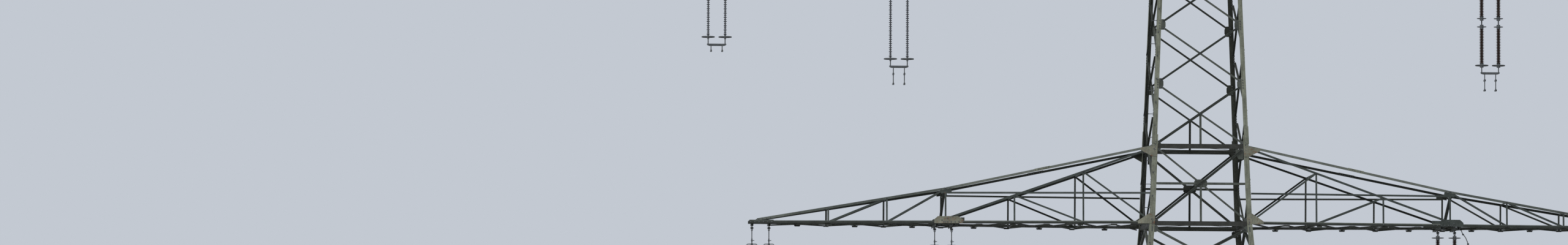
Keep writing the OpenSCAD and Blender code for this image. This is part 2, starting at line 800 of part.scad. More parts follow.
module twins() {
    for (d = [-1, 1]) translate([d * twin_pitch / 2, 0, 0]) children();
}

// An insulator body from z = 0 down, with evenly spaced sheds
module shed_rod(long, core, shed, count) {
    pitch = long / count;
    points = concat(
        [[0, 0], [core, 0]],
        [for (j = [0:count - 1]) let (z = -(j + 0.5) * pitch) each [
            [core, z + 0.3 * pitch], [shed, z - 0.08 * pitch],
            [shed, z - 0.2 * pitch], [core, z - 0.12 * pitch]]],
        [[core, -long], [0, -long]]
    );
    rotate_extrude($fn = 40) polygon(points);
}

module insulators(i, left, inner) {
    color(left ? silicone : porcelain)
        at_set(i, left, inner)
        twins()
        if (left) {
            long = composite_span(i, inner) - 2 * cap_over - 2 * seat;
            translate([0, 0, -composite_top - cap_over - seat])
                shed_rod(long, shaft_r, shaft_shed, round(long / shed_pitch));
        } else {
            for (j = [0:rods(i, inner) - 1])
                translate([0, 0, -porcelain_top - j * rod_pitch - cap_over - seat])
                shed_rod(rod_long - 2 * cap_over - 2 * seat, rod_core, rod_shed, rod_sheds);
        }
}

// A round bar or cap from one depth to another
module round_bar(from, to, r) {
    translate([0, 0, -to]) cylinder(h = to - from, r = r, $fn = 32);
}

// A ring around a string, held by two arms
module ring(depth, r, tube) {
    translate([0, 0, -depth]) {
        rotate_extrude($fn = 48) translate([r, 0]) circle(r = tube, $fn = 20);
        rotate([90, 0, 0]) cylinder(h = 2 * r, r = tube * 0.7, center = true, $fn = 16);
    }
}

ear_thick = 8;
ear_gap = 1;
ear_r = 20;
bridge_drop = 32;
bridge_thick = 14;
bridge_lap = 6;
pin_over = 6;
link_r = 8;
// How far rods reach into the caps
rod_in = 1;

// Clevis on the lug's pin, and the link down to the first insulator
module top_link(to, cap_r) {
    ear_x = lug_thick / 2 + ear_gap;
    translate([0, 0, -pin_drop]) {
        for (d = [-1, 1]) {
            translate([d > 0 ? ear_x : -ear_x - ear_thick, 0, 0]) {
                rotate([0, 90, 0]) cylinder(h = ear_thick, r = ear_r, $fn = 40);
                translate([0, -ear_r, -bridge_drop - bridge_lap])
                    cube([ear_thick, 2 * ear_r, bridge_drop + bridge_lap]);
            }
        }
        rotate([0, 90, 0])
            cylinder(h = 2 * (ear_x + ear_thick + pin_over), r = pin_r, center = true, $fn = 48);
        translate([-ear_x - ear_thick, -ear_r, -bridge_drop - bridge_thick])
            cube([2 * (ear_x + ear_thick), 2 * ear_r, bridge_thick]);
    }
    round_bar(pin_drop + bridge_drop + bridge_thick / 2 + rod_in, to - cap_over + rod_in, link_r);
    round_bar(to - cap_over, to + cap_over, cap_r);
}

// Clamp body for one conductor: a block, and the saddle on it that its hanger ends in
clamp_wide = 26;
saddle = [18, 50, 20];
saddle_z = 16;
module clamp_body() {
    difference() {
        union() {
            cube([clamp_wide, clamp_long, clamp_wide], center = true);
            translate([0, 0, saddle_z]) cube(saddle, center = true);
        }
        rotate([90, 0, 0]) cylinder(h = 2 * clamp_long, r = conductor_r, center = true, $fn = 40);
    }
}

yoke_drop = 115;
yoke_high = 40;
yoke_thick = 14;
yoke_over = 20;
yoke_cut = 40;
foot_link_r = 9;
clamp_link_r = 8;
// How far the rods of the foot reach into the yoke and end over the clamps
yoke_in = 2;
clamp_up = 20;
clamp_down = 10;

module foot_gear(depth, cap_r, quad) {
    half = twin_pitch / 2 + yoke_over;
    b = bundle_pitch / 2;
    clamp_depths = quad ? quad_drops : twin_drops;
    twins() {
        round_bar(depth - cap_over, depth + cap_over, cap_r);
        round_bar(depth + cap_over - rod_in, depth + yoke_drop + yoke_in, foot_link_r);
        ring(depth, ring_r, ring_tube);
    }
    translate([0, yoke_thick / 2, -depth - yoke_drop])
        rotate([90, 0, 0])
        linear_extrude(yoke_thick)
        polygon([
            [-half, 0], [half, 0], [half, -yoke_high / 2], [half - yoke_cut, -yoke_high],
            [yoke_cut - half, -yoke_high], [-half, -yoke_high / 2]
        ]);
    for (d = [-1, 1]) translate([d * b, 0, 0])
        difference() {
            union() {
                round_bar(depth + yoke_drop + yoke_high - 2 * yoke_in, depth + clamp_depths[0] - clamp_up,
                    clamp_link_r);
                if (quad) round_bar(depth + clamp_depths[0] + clamp_down, depth + clamp_depths[1] - clamp_up,
                    clamp_link_r);
                for (c = clamp_depths) translate([0, 0, -depth - c]) clamp_body();
            }
            if (quad) translate([0, 0, -depth - clamp_depths[0]])
                rotate([90, 0, 0])
                cylinder(h = 2 * clamp_long, r = conductor_r, center = true, $fn = 40);
        }
}

composite_cap_r = 17;
porcelain_cap_r = 32;
rod_link_r = 11;

module fittings(i, left, inner) {
    depth = last_ring(i, left, inner);
    cap_r = left ? composite_cap_r : porcelain_cap_r;
    color(hot_dip)
        at_set(i, left, inner) {
            twins() {
                first = left ? composite_top : porcelain_top;
                top_link(first, cap_r);
                ring(first, head_ring_r, small_tube);
                if (!left) for (j = [1:rods(i, inner) - 1]) {
                    upper = porcelain_top + j * rod_pitch - rod_link;
                    lower = upper + rod_link;
                    round_bar(upper - cap_over, upper + cap_over, cap_r);
                    round_bar(upper + cap_over - rod_in, lower - cap_over + rod_in, rod_link_r);
                    round_bar(lower - cap_over, lower + cap_over, cap_r);
                    ring(upper, small_ring_r, small_tube);
                    ring(lower, small_ring_r, small_tube);
                }
            }
            foot_gear(depth, cap_r, is_quad(i, inner));
        }
}

footings();
leg(0);  // leg_front_left
leg(1);  // leg_front_right
leg(2);  // leg_back_right
leg(3);  // leg_back_left
lower_bracing(0);  // lower_bracing_front
lower_bracing(1);  // lower_bracing_right
lower_bracing(2);  // lower_bracing_back
lower_bracing(3);  // lower_bracing_left
upper_bracing(0);  // upper_bracing_front
upper_bracing(1);  // upper_bracing_right
upper_bracing(2);  // upper_bracing_back
upper_bracing(3);  // upper_bracing_left
plan_bracing();
earth_wire_peak();
crossarm(0, true);  // lower_arm_left
crossarm(0, false);  // lower_arm_right
crossarm(1, true);  // middle_arm_left
crossarm(1, false);  // middle_arm_right
crossarm(2, true);  // upper_arm_left
crossarm(2, false);  // upper_arm_right
insulators(0, true, true);  // lower_left_inner_insulators
insulators(0, true, false);  // lower_left_outer_insulators
insulators(0, false, true);  // lower_right_inner_insulators
insulators(0, false, false);  // lower_right_outer_insulators
insulators(1, true, true);  // middle_left_inner_insulators
insulators(1, true, false);  // middle_left_outer_insulators
insulators(1, false, true);  // middle_right_inner_insulators
insulators(1, false, false);  // middle_right_outer_insulators
insulators(2, true, true);  // upper_left_inner_insulators
insulators(2, true, false);  // upper_left_outer_insulators
insulators(2, false, true);  // upper_right_inner_insulators
insulators(2, false, false);  // upper_right_outer_insulators
fittings(0, true, true);  // lower_left_inner_fittings
fittings(0, true, false);  // lower_left_outer_fittings
fittings(0, false, true);  // lower_right_inner_fittings
fittings(0, false, false);  // lower_right_outer_fittings
fittings(1, true, true);  // middle_left_inner_fittings
fittings(1, true, false);  // middle_left_outer_fittings
fittings(1, false, true);  // middle_right_inner_fittings
fittings(1, false, false);  // middle_right_outer_fittings
fittings(2, true, true);  // upper_left_inner_fittings
fittings(2, true, false);  // upper_left_outer_fittings
fittings(2, false, true);  // upper_right_inner_fittings
fittings(2, false, false);  // upper_right_outer_fittings
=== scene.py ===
"""Lattice transmission pylon at half size: finishes, small parts, finer bracing and stage.

All lengths are metres of the model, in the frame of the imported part: +Z up, X along the
crossarms, Y along the line, origin on the ground between the four footings.
"""

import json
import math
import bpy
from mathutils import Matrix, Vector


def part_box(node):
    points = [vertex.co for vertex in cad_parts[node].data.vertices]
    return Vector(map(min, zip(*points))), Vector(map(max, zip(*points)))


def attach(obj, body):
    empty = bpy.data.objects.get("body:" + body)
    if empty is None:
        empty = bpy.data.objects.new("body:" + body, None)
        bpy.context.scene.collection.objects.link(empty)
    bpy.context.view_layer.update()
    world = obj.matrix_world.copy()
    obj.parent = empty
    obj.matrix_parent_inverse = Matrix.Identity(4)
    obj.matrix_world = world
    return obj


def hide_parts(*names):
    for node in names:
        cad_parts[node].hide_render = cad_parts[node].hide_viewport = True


bl_info = {
    "name": "Lattice pylon dressing",
    "version": (1, 0, 0),
    "blender": (4, 5, 0),
    "location": "3D View > Sidebar > Pylon",
    "description": "Finishes and small parts of a lattice transmission pylon",
    "category": "Object",
}

from functools import partialmethod, reduce

import bmesh
import bpy
from bpy.props import FloatProperty, FloatVectorProperty, IntProperty, PointerProperty
from mathutils import Matrix, Vector

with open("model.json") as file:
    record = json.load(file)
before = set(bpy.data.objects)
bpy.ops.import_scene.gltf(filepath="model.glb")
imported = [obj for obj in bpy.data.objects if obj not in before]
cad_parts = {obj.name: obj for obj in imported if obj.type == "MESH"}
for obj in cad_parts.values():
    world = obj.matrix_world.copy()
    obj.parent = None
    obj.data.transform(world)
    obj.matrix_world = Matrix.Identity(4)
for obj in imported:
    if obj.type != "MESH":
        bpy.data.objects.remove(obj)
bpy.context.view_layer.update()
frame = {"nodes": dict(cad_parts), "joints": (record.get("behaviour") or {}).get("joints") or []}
BODY = "pylon"
SIDES = (-1, 1)
# Corners of a square, as signs
SQUARE = ((-1, -1), (1, -1), (1, 1), (-1, 1))
UP = Vector((0, 0, 1))

# Driving sizes of the tower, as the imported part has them; the knee is where the faces change their lean
KNEE_Z = 11.0
KNEE_HALF = 0.875
UPPER_LEAN = 0.04
LOWER_LEAN = 0.09
UPPER_SLOPE = math.hypot(1, UPPER_LEAN)
LOWER_SLOPE = math.hypot(1, LOWER_LEAN)
KNEE_BAY = 1.025
FOOT_JOINT = 0.38
SIDE_FOOT_LIFT = 0.09
LOWER_BAYS = 6
# Bays of the body between the crossarms
BODY_BAYS = (4, 5)
FOOTING_HIGH = 0.25
LEG_WIDE = 0.09
LEG_THICK = 0.009
LEG_NARROW = 0.075
LEG_MIDDLE = 0.045
BELT_WIDE = 0.074
BELT_SINK = 0.016
LOWER_BRACE_WIDE = 0.042
BRACE_THICK = 0.005
BAR_INSET = 0.03
PLATE_RISE = 0.09
EDGE_GAP = 0.002
# Gap that keeps an added piece off the steel that it lies on
SEAT = 0.0003

# Crossarms: rise over the knee, height of the trusses at the leg and at the inner strings, and bays
# between these two
ARM_SIZES = {"lower": (0.0, 1.305, 0.59, 3), "middle": (5.25, 1.2, 0.59, 4), "upper": (10.5, 1.0, 0.5, 3)}
OUTER_BAYS = 3
TIP_HIGH = 0.07
TIP_HALF = 0.13
TIP_OVER = 0.24
TIP_OUT = 0.06
CHORD_WIDE = 0.046
TOP_WIDE = 0.04
CHORD_DROP = 0.023
ARM_THICK = 0.005
TWIN_PITCH = 0.29
# Bays of the front faces that carry a crossarm, counted from the knee
ARM_BAYS = (0, BODY_BAYS[0] + 1, sum(BODY_BAYS) + 2)
# The zigzag under a crossarm: how far it stops inside the chords' lines, where it starts, how low it lies
FLOOR_IN = 0.014
FLOOR_START = 0.03
FLOOR_DROP = CHORD_DROP + CHORD_WIDE * UPPER_LEAN + 0.0006
# Where the faces under the knee end, below the lowest horizontals
LOWER_TOP = -BELT_SINK - BELT_WIDE / 2 - EDGE_GAP
# Place of the splices in the top chords, as a share of the way from the body to the inner strings
SPLICE_SHARE = 0.526


def even_rows(low, high, count):
    """Evenly spaced numbers from low to high."""
    return [low + (high - low) * n / (count - 1) for n in range(count)]


class Level:
    """The crossarms of a level: distances from the axis, and heights over the bottom chords."""

    def __init__(self, name, rise, root_high, inner_high, bays):
        reach = {j["name"]: j["pos_m"][0] for j in frame["joints"]}
        self.name = name
        self.foot, self.half = KNEE_Z + rise, KNEE_HALF - UPPER_LEAN * rise
        self.root_high, self.inner_high = root_high, inner_high
        # Where the arms meet the body, as distances up its face from the knee
        self.low_v, self.high_v = rise * UPPER_SLOPE, (rise + root_high) * UPPER_SLOPE
        self.inner, self.outer = (reach[f"{name}_right_{place}_swing"] for place in ("inner", "outer"))
        self.taper = (self.half - TIP_HALF) / (self.outer + TIP_OVER - self.half)
        self.splice = self.half + SPLICE_SHARE * (self.inner - self.half)
        self.root, last = self.half - LEG_MIDDLE, self.outer - TWIN_PITCH / 2
        self.inner_posts = even_rows(self.root, self.inner, bays + 1)
        self.outer_posts = even_rows(self.inner, last, OUTER_BAYS + 1)
        self.floor_joints = even_rows(self.half + FLOOR_START, self.inner, 2 * bays + 1)
        self.floor_joints += even_rows(self.inner, last, 2 * OUTER_BAYS + 1)[1:]

    def chord_y(self, x):
        """Half the distance between the bottom chords at a distance x from the axis."""
        return self.half - self.taper * (x - self.half)

    def top_rise(self, x):
        """Height of the top chord over the bottom one at a distance x from the axis."""
        inner, high = self.inner, self.inner_high
        if x < inner:
            return self.root_high + (high - self.root_high) * (x - self.half) / (inner - self.half)
        return high + (TIP_HIGH - high) * (x - inner) / (self.outer - inner)

    def low_rise(self, x):
        """Height of the inside chord, which runs from the leg's head down to the inner strings."""
        end = self.inner + TWIN_PITCH / 2
        return (self.root_high - TOP_WIDE) * (end - x) / (end - self.root)

    def web_lines(self):
        """The posts and diagonals of a truss, as pairs of (distance, height) from end to end."""
        foot, head = CHORD_WIDE / 2 - CHORD_DROP, TOP_WIDE / 2
        lines = []
        for before, x in zip(self.inner_posts, self.inner_posts[1:-1]):
            lines += [((x, foot), (x, self.low_rise(x))), ((x, self.low_rise(x)), (before, foot))]
        lines.append(((self.inner, foot), (self.inner, self.top_rise(self.inner) - head)))
        for before, x in zip(self.outer_posts, self.outer_posts[1:-1]):
            lines += [((x, foot), (x, self.top_rise(x) - head)),
                      ((before, self.top_rise(before) - head), (x, foot))]
        return lines


class Truss:
    """A truss of a crossarm: side is -1 on the left and 1 on the right, front -1 near and 1 far."""

    def __init__(self, level, side, front):
        self.level, self.side, self.front = level, side, front
        square = Vector((level.taper, 1, UPPER_LEAN * (1 + level.taper))).normalized()
        # Away from the arm's other truss
        self.normal = Vector((side * square.x, front * square.y, square.z))

    def point(self, x, rise):
        """A point on the truss's outer face, this far out and this high above its foot."""
        lean_in = UPPER_LEAN * rise * (1 + self.level.taper)
        y = self.front * (self.level.chord_y(x) - lean_in)
        return Vector((self.side * x, y, self.level.foot + rise))

    def outside(self, outline):
        """Points just outside the truss, for pairs of distance and height."""
        return [self.point(x, rise) + self.normal * SEAT for x, rise in outline]


LEVELS = [Level(name, *sizes) for name, sizes in ARM_SIZES.items()]
# The near and the far truss of each crossarm
ARMS = [[Truss(level, side, front) for front in SIDES] for level in LEVELS for side in SIDES]
TRUSSES = [truss for arm in ARMS for truss in arm]


def upper_half(v):
    """Half the width of the body at a distance v up a face from the knee."""
    return KNEE_HALF - UPPER_LEAN * v / UPPER_SLOPE


def lower_half(v):
    return KNEE_HALF - LOWER_LEAN * v / LOWER_SLOPE


def even_levels(low, high, count, lean, half_of):
    """Levels that divide a tapering face into bays of even proportion."""
    first, last = half_of(low), half_of(high)
    return [low + first * (1 - (last / first) ** (n / count)) / lean for n in range(1, count + 1)]


def body_levels():
    """Levels of the joints on the front faces, above and below the knee, as distances up the face."""
    upper = [-BELT_SINK, LEVELS[0].high_v]
    for below, level, count in zip(LEVELS, LEVELS[1:], BODY_BAYS):
        upper += even_levels(below.high_v, level.low_v, count, UPPER_LEAN / UPPER_SLOPE, upper_half)
        upper.append(level.high_v)
    upper[-1] = upper[-1] - BELT_WIDE / 2 - EDGE_GAP
    knee_bay = -KNEE_BAY * LOWER_SLOPE
    foot = -(KNEE_Z - FOOT_JOINT) * LOWER_SLOPE
    lower = [0.0, knee_bay]
    lower += even_levels(knee_bay, foot, LOWER_BAYS, LOWER_LEAN / LOWER_SLOPE, lower_half)
    return upper, lower


def crossing(low, high, half_of):
    """Level at which the two diagonals of a bay cross."""
    return low + (high - low) * (half_of(low) / (half_of(low) + half_of(high)))


def face_place(k, lean):
    """Matrix of body face k: x across, y up the face from the knee, z outwards."""
    tilt = Matrix.Rotation(math.pi / 2 - math.atan(lean), 4, "X")
    out = Matrix.Translation((0, -KNEE_HALF, KNEE_Z))
    return Matrix.Rotation(math.pi / 2 * k, 4, "Z") @ out @ tilt


# Settings

def from_hex(text):
    """A linear colour from the six hex digits of a screen colour."""
    parts = [int(text[i:i + 2], 16) / 255 for i in (0, 2, 4)]
    return tuple(p / 12.92 if p <= 0.04045 else ((p + 0.055) / 1.055) ** 2.4 for p in parts)


def colour(name, description, digits):
    return FloatVectorProperty(
        name=name, description=description, subtype="COLOR", size=3, min=0, max=1, default=from_hex(digits))


def length(name, description, default, **limits):
    return FloatProperty(name=name, description=description, unit="LENGTH", default=default, **limits)


class PylonSteel(bpy.types.PropertyGroup):
    """Colours and wear of the steel, and its painted light and painted shade."""

    coat: colour("Coat", "Weathered coat on the outer sides", "7A7E70")
    # Painted shade on the inner and lower sides, and the dark colour of dirty rain streaks
    sheltered: colour("Sheltered coat", "Dark, dirty coat on the inner and lower sides", "23261F")
    brace: colour("Bracing coat", "Coat on the outer sides of the bracing", "4A4F49")
    # The crossarms are the same steel as the legs; their darker coat is painted shade
    arm: colour("Crossarm coat", "Dark coat on the crossarms", "3B423F")
    belt: colour("Belt coat", "Dark, brownish coat on the body's horizontals at the crossarms", "2B2B28")
    # Painted light: the paler colour of the crossarms' lit chords
    washed: colour("Washed coat", "Paler coat where rain washes the crossarms' chords", "7A7F77")
    primer: colour("Plate coat", "Coat on the joint plates, where the primer shows through", "77786A")
    rust: colour("Rust", "Rust at edges and joints", "6B4226")
    zinc: colour("Zinc", "Dull zinc on bolts and fittings", "5F6365")
    rust_share: FloatProperty(
        name="Rust share", description="Share of the surface that rust has reached",
        subtype="FACTOR", min=0, max=1, default=0.22)
    patch_size: length(
        "Patch size", "Size of the lighter and darker patches of the coat", 0.16, min=0.02, max=1)


class PylonBolts(bpy.types.PropertyGroup):
    """Sizes of the bolts and climbing steps."""

    head_radius: length(
        "Head radius", "Radius of a hexagon head over its corners", 0.009, min=0.004, max=0.02)
    head_high: length("Head height", "Height of a hexagon head", 0.006, min=0.002, max=0.015)
    washer_radius: length("Washer radius", "Radius of the washer under a head", 0.0115, min=0.005, max=0.03)
    step_pitch: length(
        "Step pitch", "Distance between two climbing steps along the leg", 0.2, min=0.1, max=0.4)
    step_long: length(
        "Step length", "How far a climbing step stands out from the leg", 0.085, min=0.05, max=0.15)
    step_radius: length("Step radius", "Radius of a climbing step", 0.0055, min=0.003, max=0.01)


class PylonStrings(bpy.types.PropertyGroup):
    """Sizes and colours of the insulators."""

    glaze: colour("Glaze", "Brown glaze of the porcelain rods", "2A1E1A")
    silicone: colour("Silicone", "Grey rubber of the composite rods", "4A4D52")
    porcelain_core: length(
        "Porcelain core", "Radius of a porcelain rod between its sheds", 0.022, min=0.015, max=0.03)
    porcelain_shed: length("Porcelain shed", "Radius of a porcelain shed", 0.047, min=0.03, max=0.06)
    porcelain_count: IntProperty(
        name="Porcelain sheds", description="Sheds on one porcelain rod", min=10, max=30, default=22)
    composite_core: length(
        "Composite shaft", "Radius of a composite rod between its sheds", 0.009, min=0.006, max=0.015)
    composite_shed: length("Composite shed", "Radius of a composite shed", 0.033, min=0.02, max=0.045)
    composite_pitch: length(
        "Composite pitch", "Distance between two composite sheds", 0.036, min=0.02, max=0.08)
    sides: IntProperty(name="Sides", description="Sides of a shed", min=12, max=48, default=18)


class PylonStage(bpy.types.PropertyGroup):
    """Camera, light and floor."""

    aim_x: length("Aim across", "Where the middle of the view meets the arms' plane", -7.053)
    aim_z: length("Aim height", "Height of the middle of the view", 12.706)
    azimuth: FloatProperty(name="Azimuth", description="Turn of the view in degrees", default=-3.747)
    elevation: FloatProperty(name="Elevation", description="Tilt of the view in degrees", default=-3.884)
    roll: FloatProperty(name="Roll", description="Roll of the camera in degrees", default=0.198)
    distance: length("Distance", "Distance of the camera from its aim", 145.3, min=10)
    lens: FloatProperty(name="Lens", description="Focal length in millimetres", min=20, default=195.5)
    backdrop: colour("Backdrop", "Pale backdrop", "C3C9D2")
    floor: colour("Floor", "Pale floor", "CDD0D4")
    sky_strength: FloatProperty(
        name="Sky strength", description="Strength of the even light", min=0, default=0.62)
    sun_strength: FloatProperty(
        name="Sun strength", description="Strength of the soft main light", min=0, default=1.7)


def settings(name):
    return getattr(bpy.context.scene, name)


# Nodes

class Value:
    """A node's output, which can be reckoned with like a number."""

    def __init__(self, tree, socket):
        self.tree, self.socket = tree, socket

    def math(self, operation, *others):
        return self.tree.math(operation, self, *others)

    __add__ = partialmethod(math, "ADD")
    __sub__ = partialmethod(math, "SUBTRACT")
    __mul__ = partialmethod(math, "MULTIPLY")
    __truediv__ = partialmethod(math, "DIVIDE")
    __mod__ = partialmethod(math, "MODULO")
    __abs__ = partialmethod(math, "ABSOLUTE")
    larger = partialmethod(math, "MAXIMUM")

    def __rsub__(self, other):
        return self.tree.math("SUBTRACT", other, self)

    def __rtruediv__(self, other):
        return self.tree.math("DIVIDE", other, self)

    def ranged(self, low, high, to_low=0.0, to_high=1.0):
        """Maps the value from one range to another, held at its ends."""
        return self.tree.add("ShaderNodeMapRange", "Result", {
            "Value": self, "From Min": low, "From Max": high, "To Min": to_low, "To Max": to_high})

    def mix(self, first, second):
        """A mix of two colours, with the value as its factor."""
        return self.tree.add("ShaderNodeMix", 2, {"Factor": self, 6: first, 7: second}, data_type="RGBA")

    def split(self):
        """The X, Y and Z of a vector."""
        return self.tree.add("ShaderNodeSeparateXYZ", None, {0: self})

    def noise(self, scale, detail, rough, stretch=None):
        """Noise on a place, its scale in patches a metre, stretched by a scale on each axis."""
        place = self
        if stretch:
            place = self.tree.add("ShaderNodeMapping", "Vector", {"Scale": stretch, "Vector": self})
        return self.tree.add("ShaderNodeTexNoise", "Fac", {
            "Vector": place, "Scale": scale, "Detail": detail, "Roughness": rough})


class Tree:
    """Adds nodes to a node tree."""

    def __init__(self, data):
        self.data = data

    def feed(self, socket, value):
        """Links a socket to a node's output, or sets it to a number or a colour."""
        if isinstance(value, Value):
            self.data.links.new(value.socket, socket)
        elif value is not None:
            if socket.type == "RGBA" and len(value) == 3:
                value = (*value, 1.0)
            socket.default_value = value

    def add(self, kind, output=None, inputs=None, **choices):
        """Adds a node with its choices and inputs, and gives one output or all of them by name."""
        node = self.data.nodes.new(kind)
        for key, value in choices.items():
            setattr(node, key, value)
        for key, value in (inputs or {}).items():
            self.feed(node.inputs[key], value)
        if output is None:
            return {socket.name: Value(self, socket) for socket in node.outputs}
        return Value(self, node.outputs[output])

    def use(self, name, **inputs):
        """Places a node group and gives its outputs; words in an input's name are joined by _."""
        inputs = {key.replace("_", " "): value for key, value in inputs.items()}
        return self.add("ShaderNodeGroup", None, inputs, node_tree=bpy.data.node_groups[name])

    def end(self, **results):
        """Ends a group with its results."""
        self.add("NodeGroupOutput", None, results)

    def math(self, operation, *values):
        return self.add("ShaderNodeMath", 0, dict(enumerate(values)), operation=operation)

    def upright(self, height):
        """A vector that points up by a height."""
        return self.add("ShaderNodeCombineXYZ", "Vector", {"Z": height})

    def normal(self):
        """The X, Y and Z of the surface's normal."""
        return self.add("ShaderNodeNewGeometry", "Normal").split()


def layered(base, *layers):
    """A colour with others laid over it in turn, each given with its mask."""
    for mask, colour in layers:
        base = mask.mix(base, colour)
    return base


def shade(value, factor):
    """A colour made darker or paler, up to white."""
    return tuple(min(1.0, c * factor) for c in value)


def new_group(kind, name, inputs, outputs):
    """A Shader or Geometry node group: its tree and its inputs' values by name.

    An input is given with its default number or the name of its type; the outputs have one type.
    """
    group = bpy.data.node_groups.new(name, f"{kind}NodeTree")
    for label, value in inputs.items():
        sort = value if isinstance(value, str) else type(value).__name__.capitalize()
        socket = group.interface.new_socket(name=label, in_out="INPUT", socket_type=f"NodeSocket{sort}")
        if sort != value:
            socket.default_value = value
    sort = "Float" if kind == "Shader" else "Geometry"
    for label in outputs:
        group.interface.new_socket(name=label, in_out="OUTPUT", socket_type=f"NodeSocket{sort}")
    tree = Tree(group)
    return tree, tree.add("NodeGroupInput")


def make_shelter_group():
    """Masks for painted shade, where a surface faces down or in towards the tower's axis."""
    tree, given = new_group("Shader", "Shelter", {"Place": "Vector"}, ("Under", "Inside"))
    facing, where = tree.normal(), given["Place"].split()
    across = where["Y"].math("SIGN") * facing["Y"]
    # Faces along X count only near the axis, so that the crossarms' ends get no painted shade
    along = where["X"].math("SIGN") * facing["X"] * abs(where["X"]).ranged(1.95, 2.0, 1.0, 0.0)
    inwards = across.math("MINIMUM", along)
    # Painted shade masks: one for the downward faces, one for the faces turned in towards the axis
    tree.end(Under=facing["Z"].ranged(-0.15, -0.7), Inside=inwards.ranged(-0.2, -0.6))


def make_weather_group():
    """Patches of a worn coat, rain streaks and spots of rust."""
    tree, given = new_group(
        "Shader", "Weathering", {"Place": "Vector", "Patch size": 0.15, "Rust share": 0.2},
        ("Patches", "Streaks", "Rust", "Height"))
    place, scale = given["Place"], 1.0 / given["Patch size"]
    patches = place.noise(scale, 4.0, 0.6) * 0.65 + place.noise(scale * 7.0, 3.0, 0.6) * 0.35
    streaks = place.noise(1.0, 3.0, 0.6, stretch=(45.0, 45.0, 2.2))
    edge = 0.78 - given["Rust share"] * 0.5
    rust = place.noise(scale * 2.6, 5.0, 0.7).ranged(edge, edge + 0.09)
    grain = place.noise(260.0, 2.0, 0.5)
    tree.end(Patches=patches.ranged(0.34, 0.66), Streaks=streaks.ranged(0.42, 0.68), Rust=rust,
             Height=grain * 0.4 + rust * 0.6)


def make_chord_group():
    """Masks for painted light on a crossarm, on its top chord's outer side and its bottom chord's upper edge,
    and for painted shade along the bottom chord's lower part.
    """
    sizes = ("Root reach", "Inner reach", "Outer reach", "Foot", "Root top", "Inner top", "Tip top")
    tree, given = new_group("Shader", "Washed chords", {"Place": "Vector", **dict.fromkeys(sizes, 0.0)},
                            ("Chord", "Ledge", "Grime"))
    where = given["Place"].split()
    root, inner, outer, foot, root_top, inner_top, tip_top = (given[label] for label in sizes)
    across = abs(where["X"])
    top = across.ranged(root, inner, root_top, inner_top)
    top += across.ranged(inner, outer, 0.0, tip_top - inner_top)
    # Painted light on the top chord's lit side
    chord = (where["Z"] - top).ranged(-TOP_WIDE - 0.003, -TOP_WIDE + 0.001)
    from_inner, from_outer = across - inner, across - outer
    amount = from_inner.ranged(-0.3, 0.3, 1.0, 0.35).larger(from_outer.ranged(-0.9, -0.4, 0.0, 0.8))
    rise = where["Z"] - foot
    # Painted light on the bottom chord's upper edge, and painted shade on its lower part
    ledge = rise.ranged(0.006, 0.012) * rise.ranged(0.026, 0.0235)
    tree.end(Chord=chord * amount, Ledge=ledge * from_inner.ranged(-0.3, 0.3, 1.0, 0.3),
             Grime=rise.ranged(0.008, 0.003))


# Materials

class Coat(Tree):
    """The tree of a new material, with its main shader and the Object coordinates."""

    def __init__(self, name):
        self.material = bpy.data.materials.new(name)
        self.material.use_nodes = True
        super().__init__(self.material.node_tree)
        self.shader = next(n for n in self.data.nodes if n.type == "BSDF_PRINCIPLED")
        self.place = self.add("ShaderNodeTexCoord", "Object")

    def weather(self, patch_size, rust_share):
        return self.use("Weathering", Place=self.place, Patch_size=patch_size, Rust_share=rust_share)

    def finish(self, base, rough, relief=None, depth=None, **plain):
        """Feeds the shader: colour, roughness, relief and plain values by the socket's name."""
        inputs = {"Base Color": base, "Roughness": rough}
        inputs.update({name.replace("_", " "): value for name, value in plain.items()})
        if relief:
            inputs["Normal"] = self.add("ShaderNodeBump", "Normal", {
                "Height": relief, "Distance": depth, "Strength": 1.0})
        for name, value in inputs.items():
            self.feed(self.shader.inputs[name], value)
        return self.material


# How far a belt's colour fades out past its edge, and how far within the edge it is full
BELT_FADE = (0.003, 0.001)


def belt_mask(place):
    """1 on the body's horizontals at the crossarms, 0 elsewhere."""
    height, upper = place.split()["Z"], body_levels()[0]
    belts = [KNEE_Z + v / UPPER_SLOPE for n in ARM_BAYS for v in upper[n:n + 2]]
    past, full = BELT_WIDE / 2 + BELT_FADE[0], BELT_WIDE / 2 - BELT_FADE[1]
    masks = [abs(height - z).ranged(past, full) for z in belts]
    return reduce(Value.larger, masks)


def steel_material(name, coat, streaked=0.45, rust_share=None, washed=None, belts=False):
    """An old coat on steel: patchy, streaked and rusty in spots, with painted shade on its inner and lower
    sides.
    """
    steel = settings("pylon_steel")
    tree = Coat(name)
    weather = tree.weather(steel.patch_size, steel.rust_share if rust_share is None else rust_share)
    shade_masks = tree.use("Shelter", Place=tree.place)
    patches = weather["Patches"]
    base = patches.mix(shade(coat, 0.62), shade(coat, 1.22))
    if washed:
        base = wash_chords(tree, base, patches, washed)
    if belts:
        base = (belt_mask(tree.place) * patches.ranged(0, 1, 1.0, 0.7)).mix(base, steel.belt)
    # Painted shade on the faces turned down or in towards the axis; the same dark colour serves the dirty
    # rain streaks
    painted_shade = shade_masks["Inside"].larger(shade_masks["Under"]) * patches.ranged(0, 1, 0.97, 0.86)
    base = layered(base, (weather["Streaks"] * streaked, steel.sheltered),
                   (weather["Rust"] * 0.75, steel.rust), (painted_shade, steel.sheltered))
    return tree.finish(base, patches.ranged(0, 1, 0.82, 0.6), weather["Height"], 0.0008,
                       Metallic=0.0, Specular_IOR_Level=0.35)


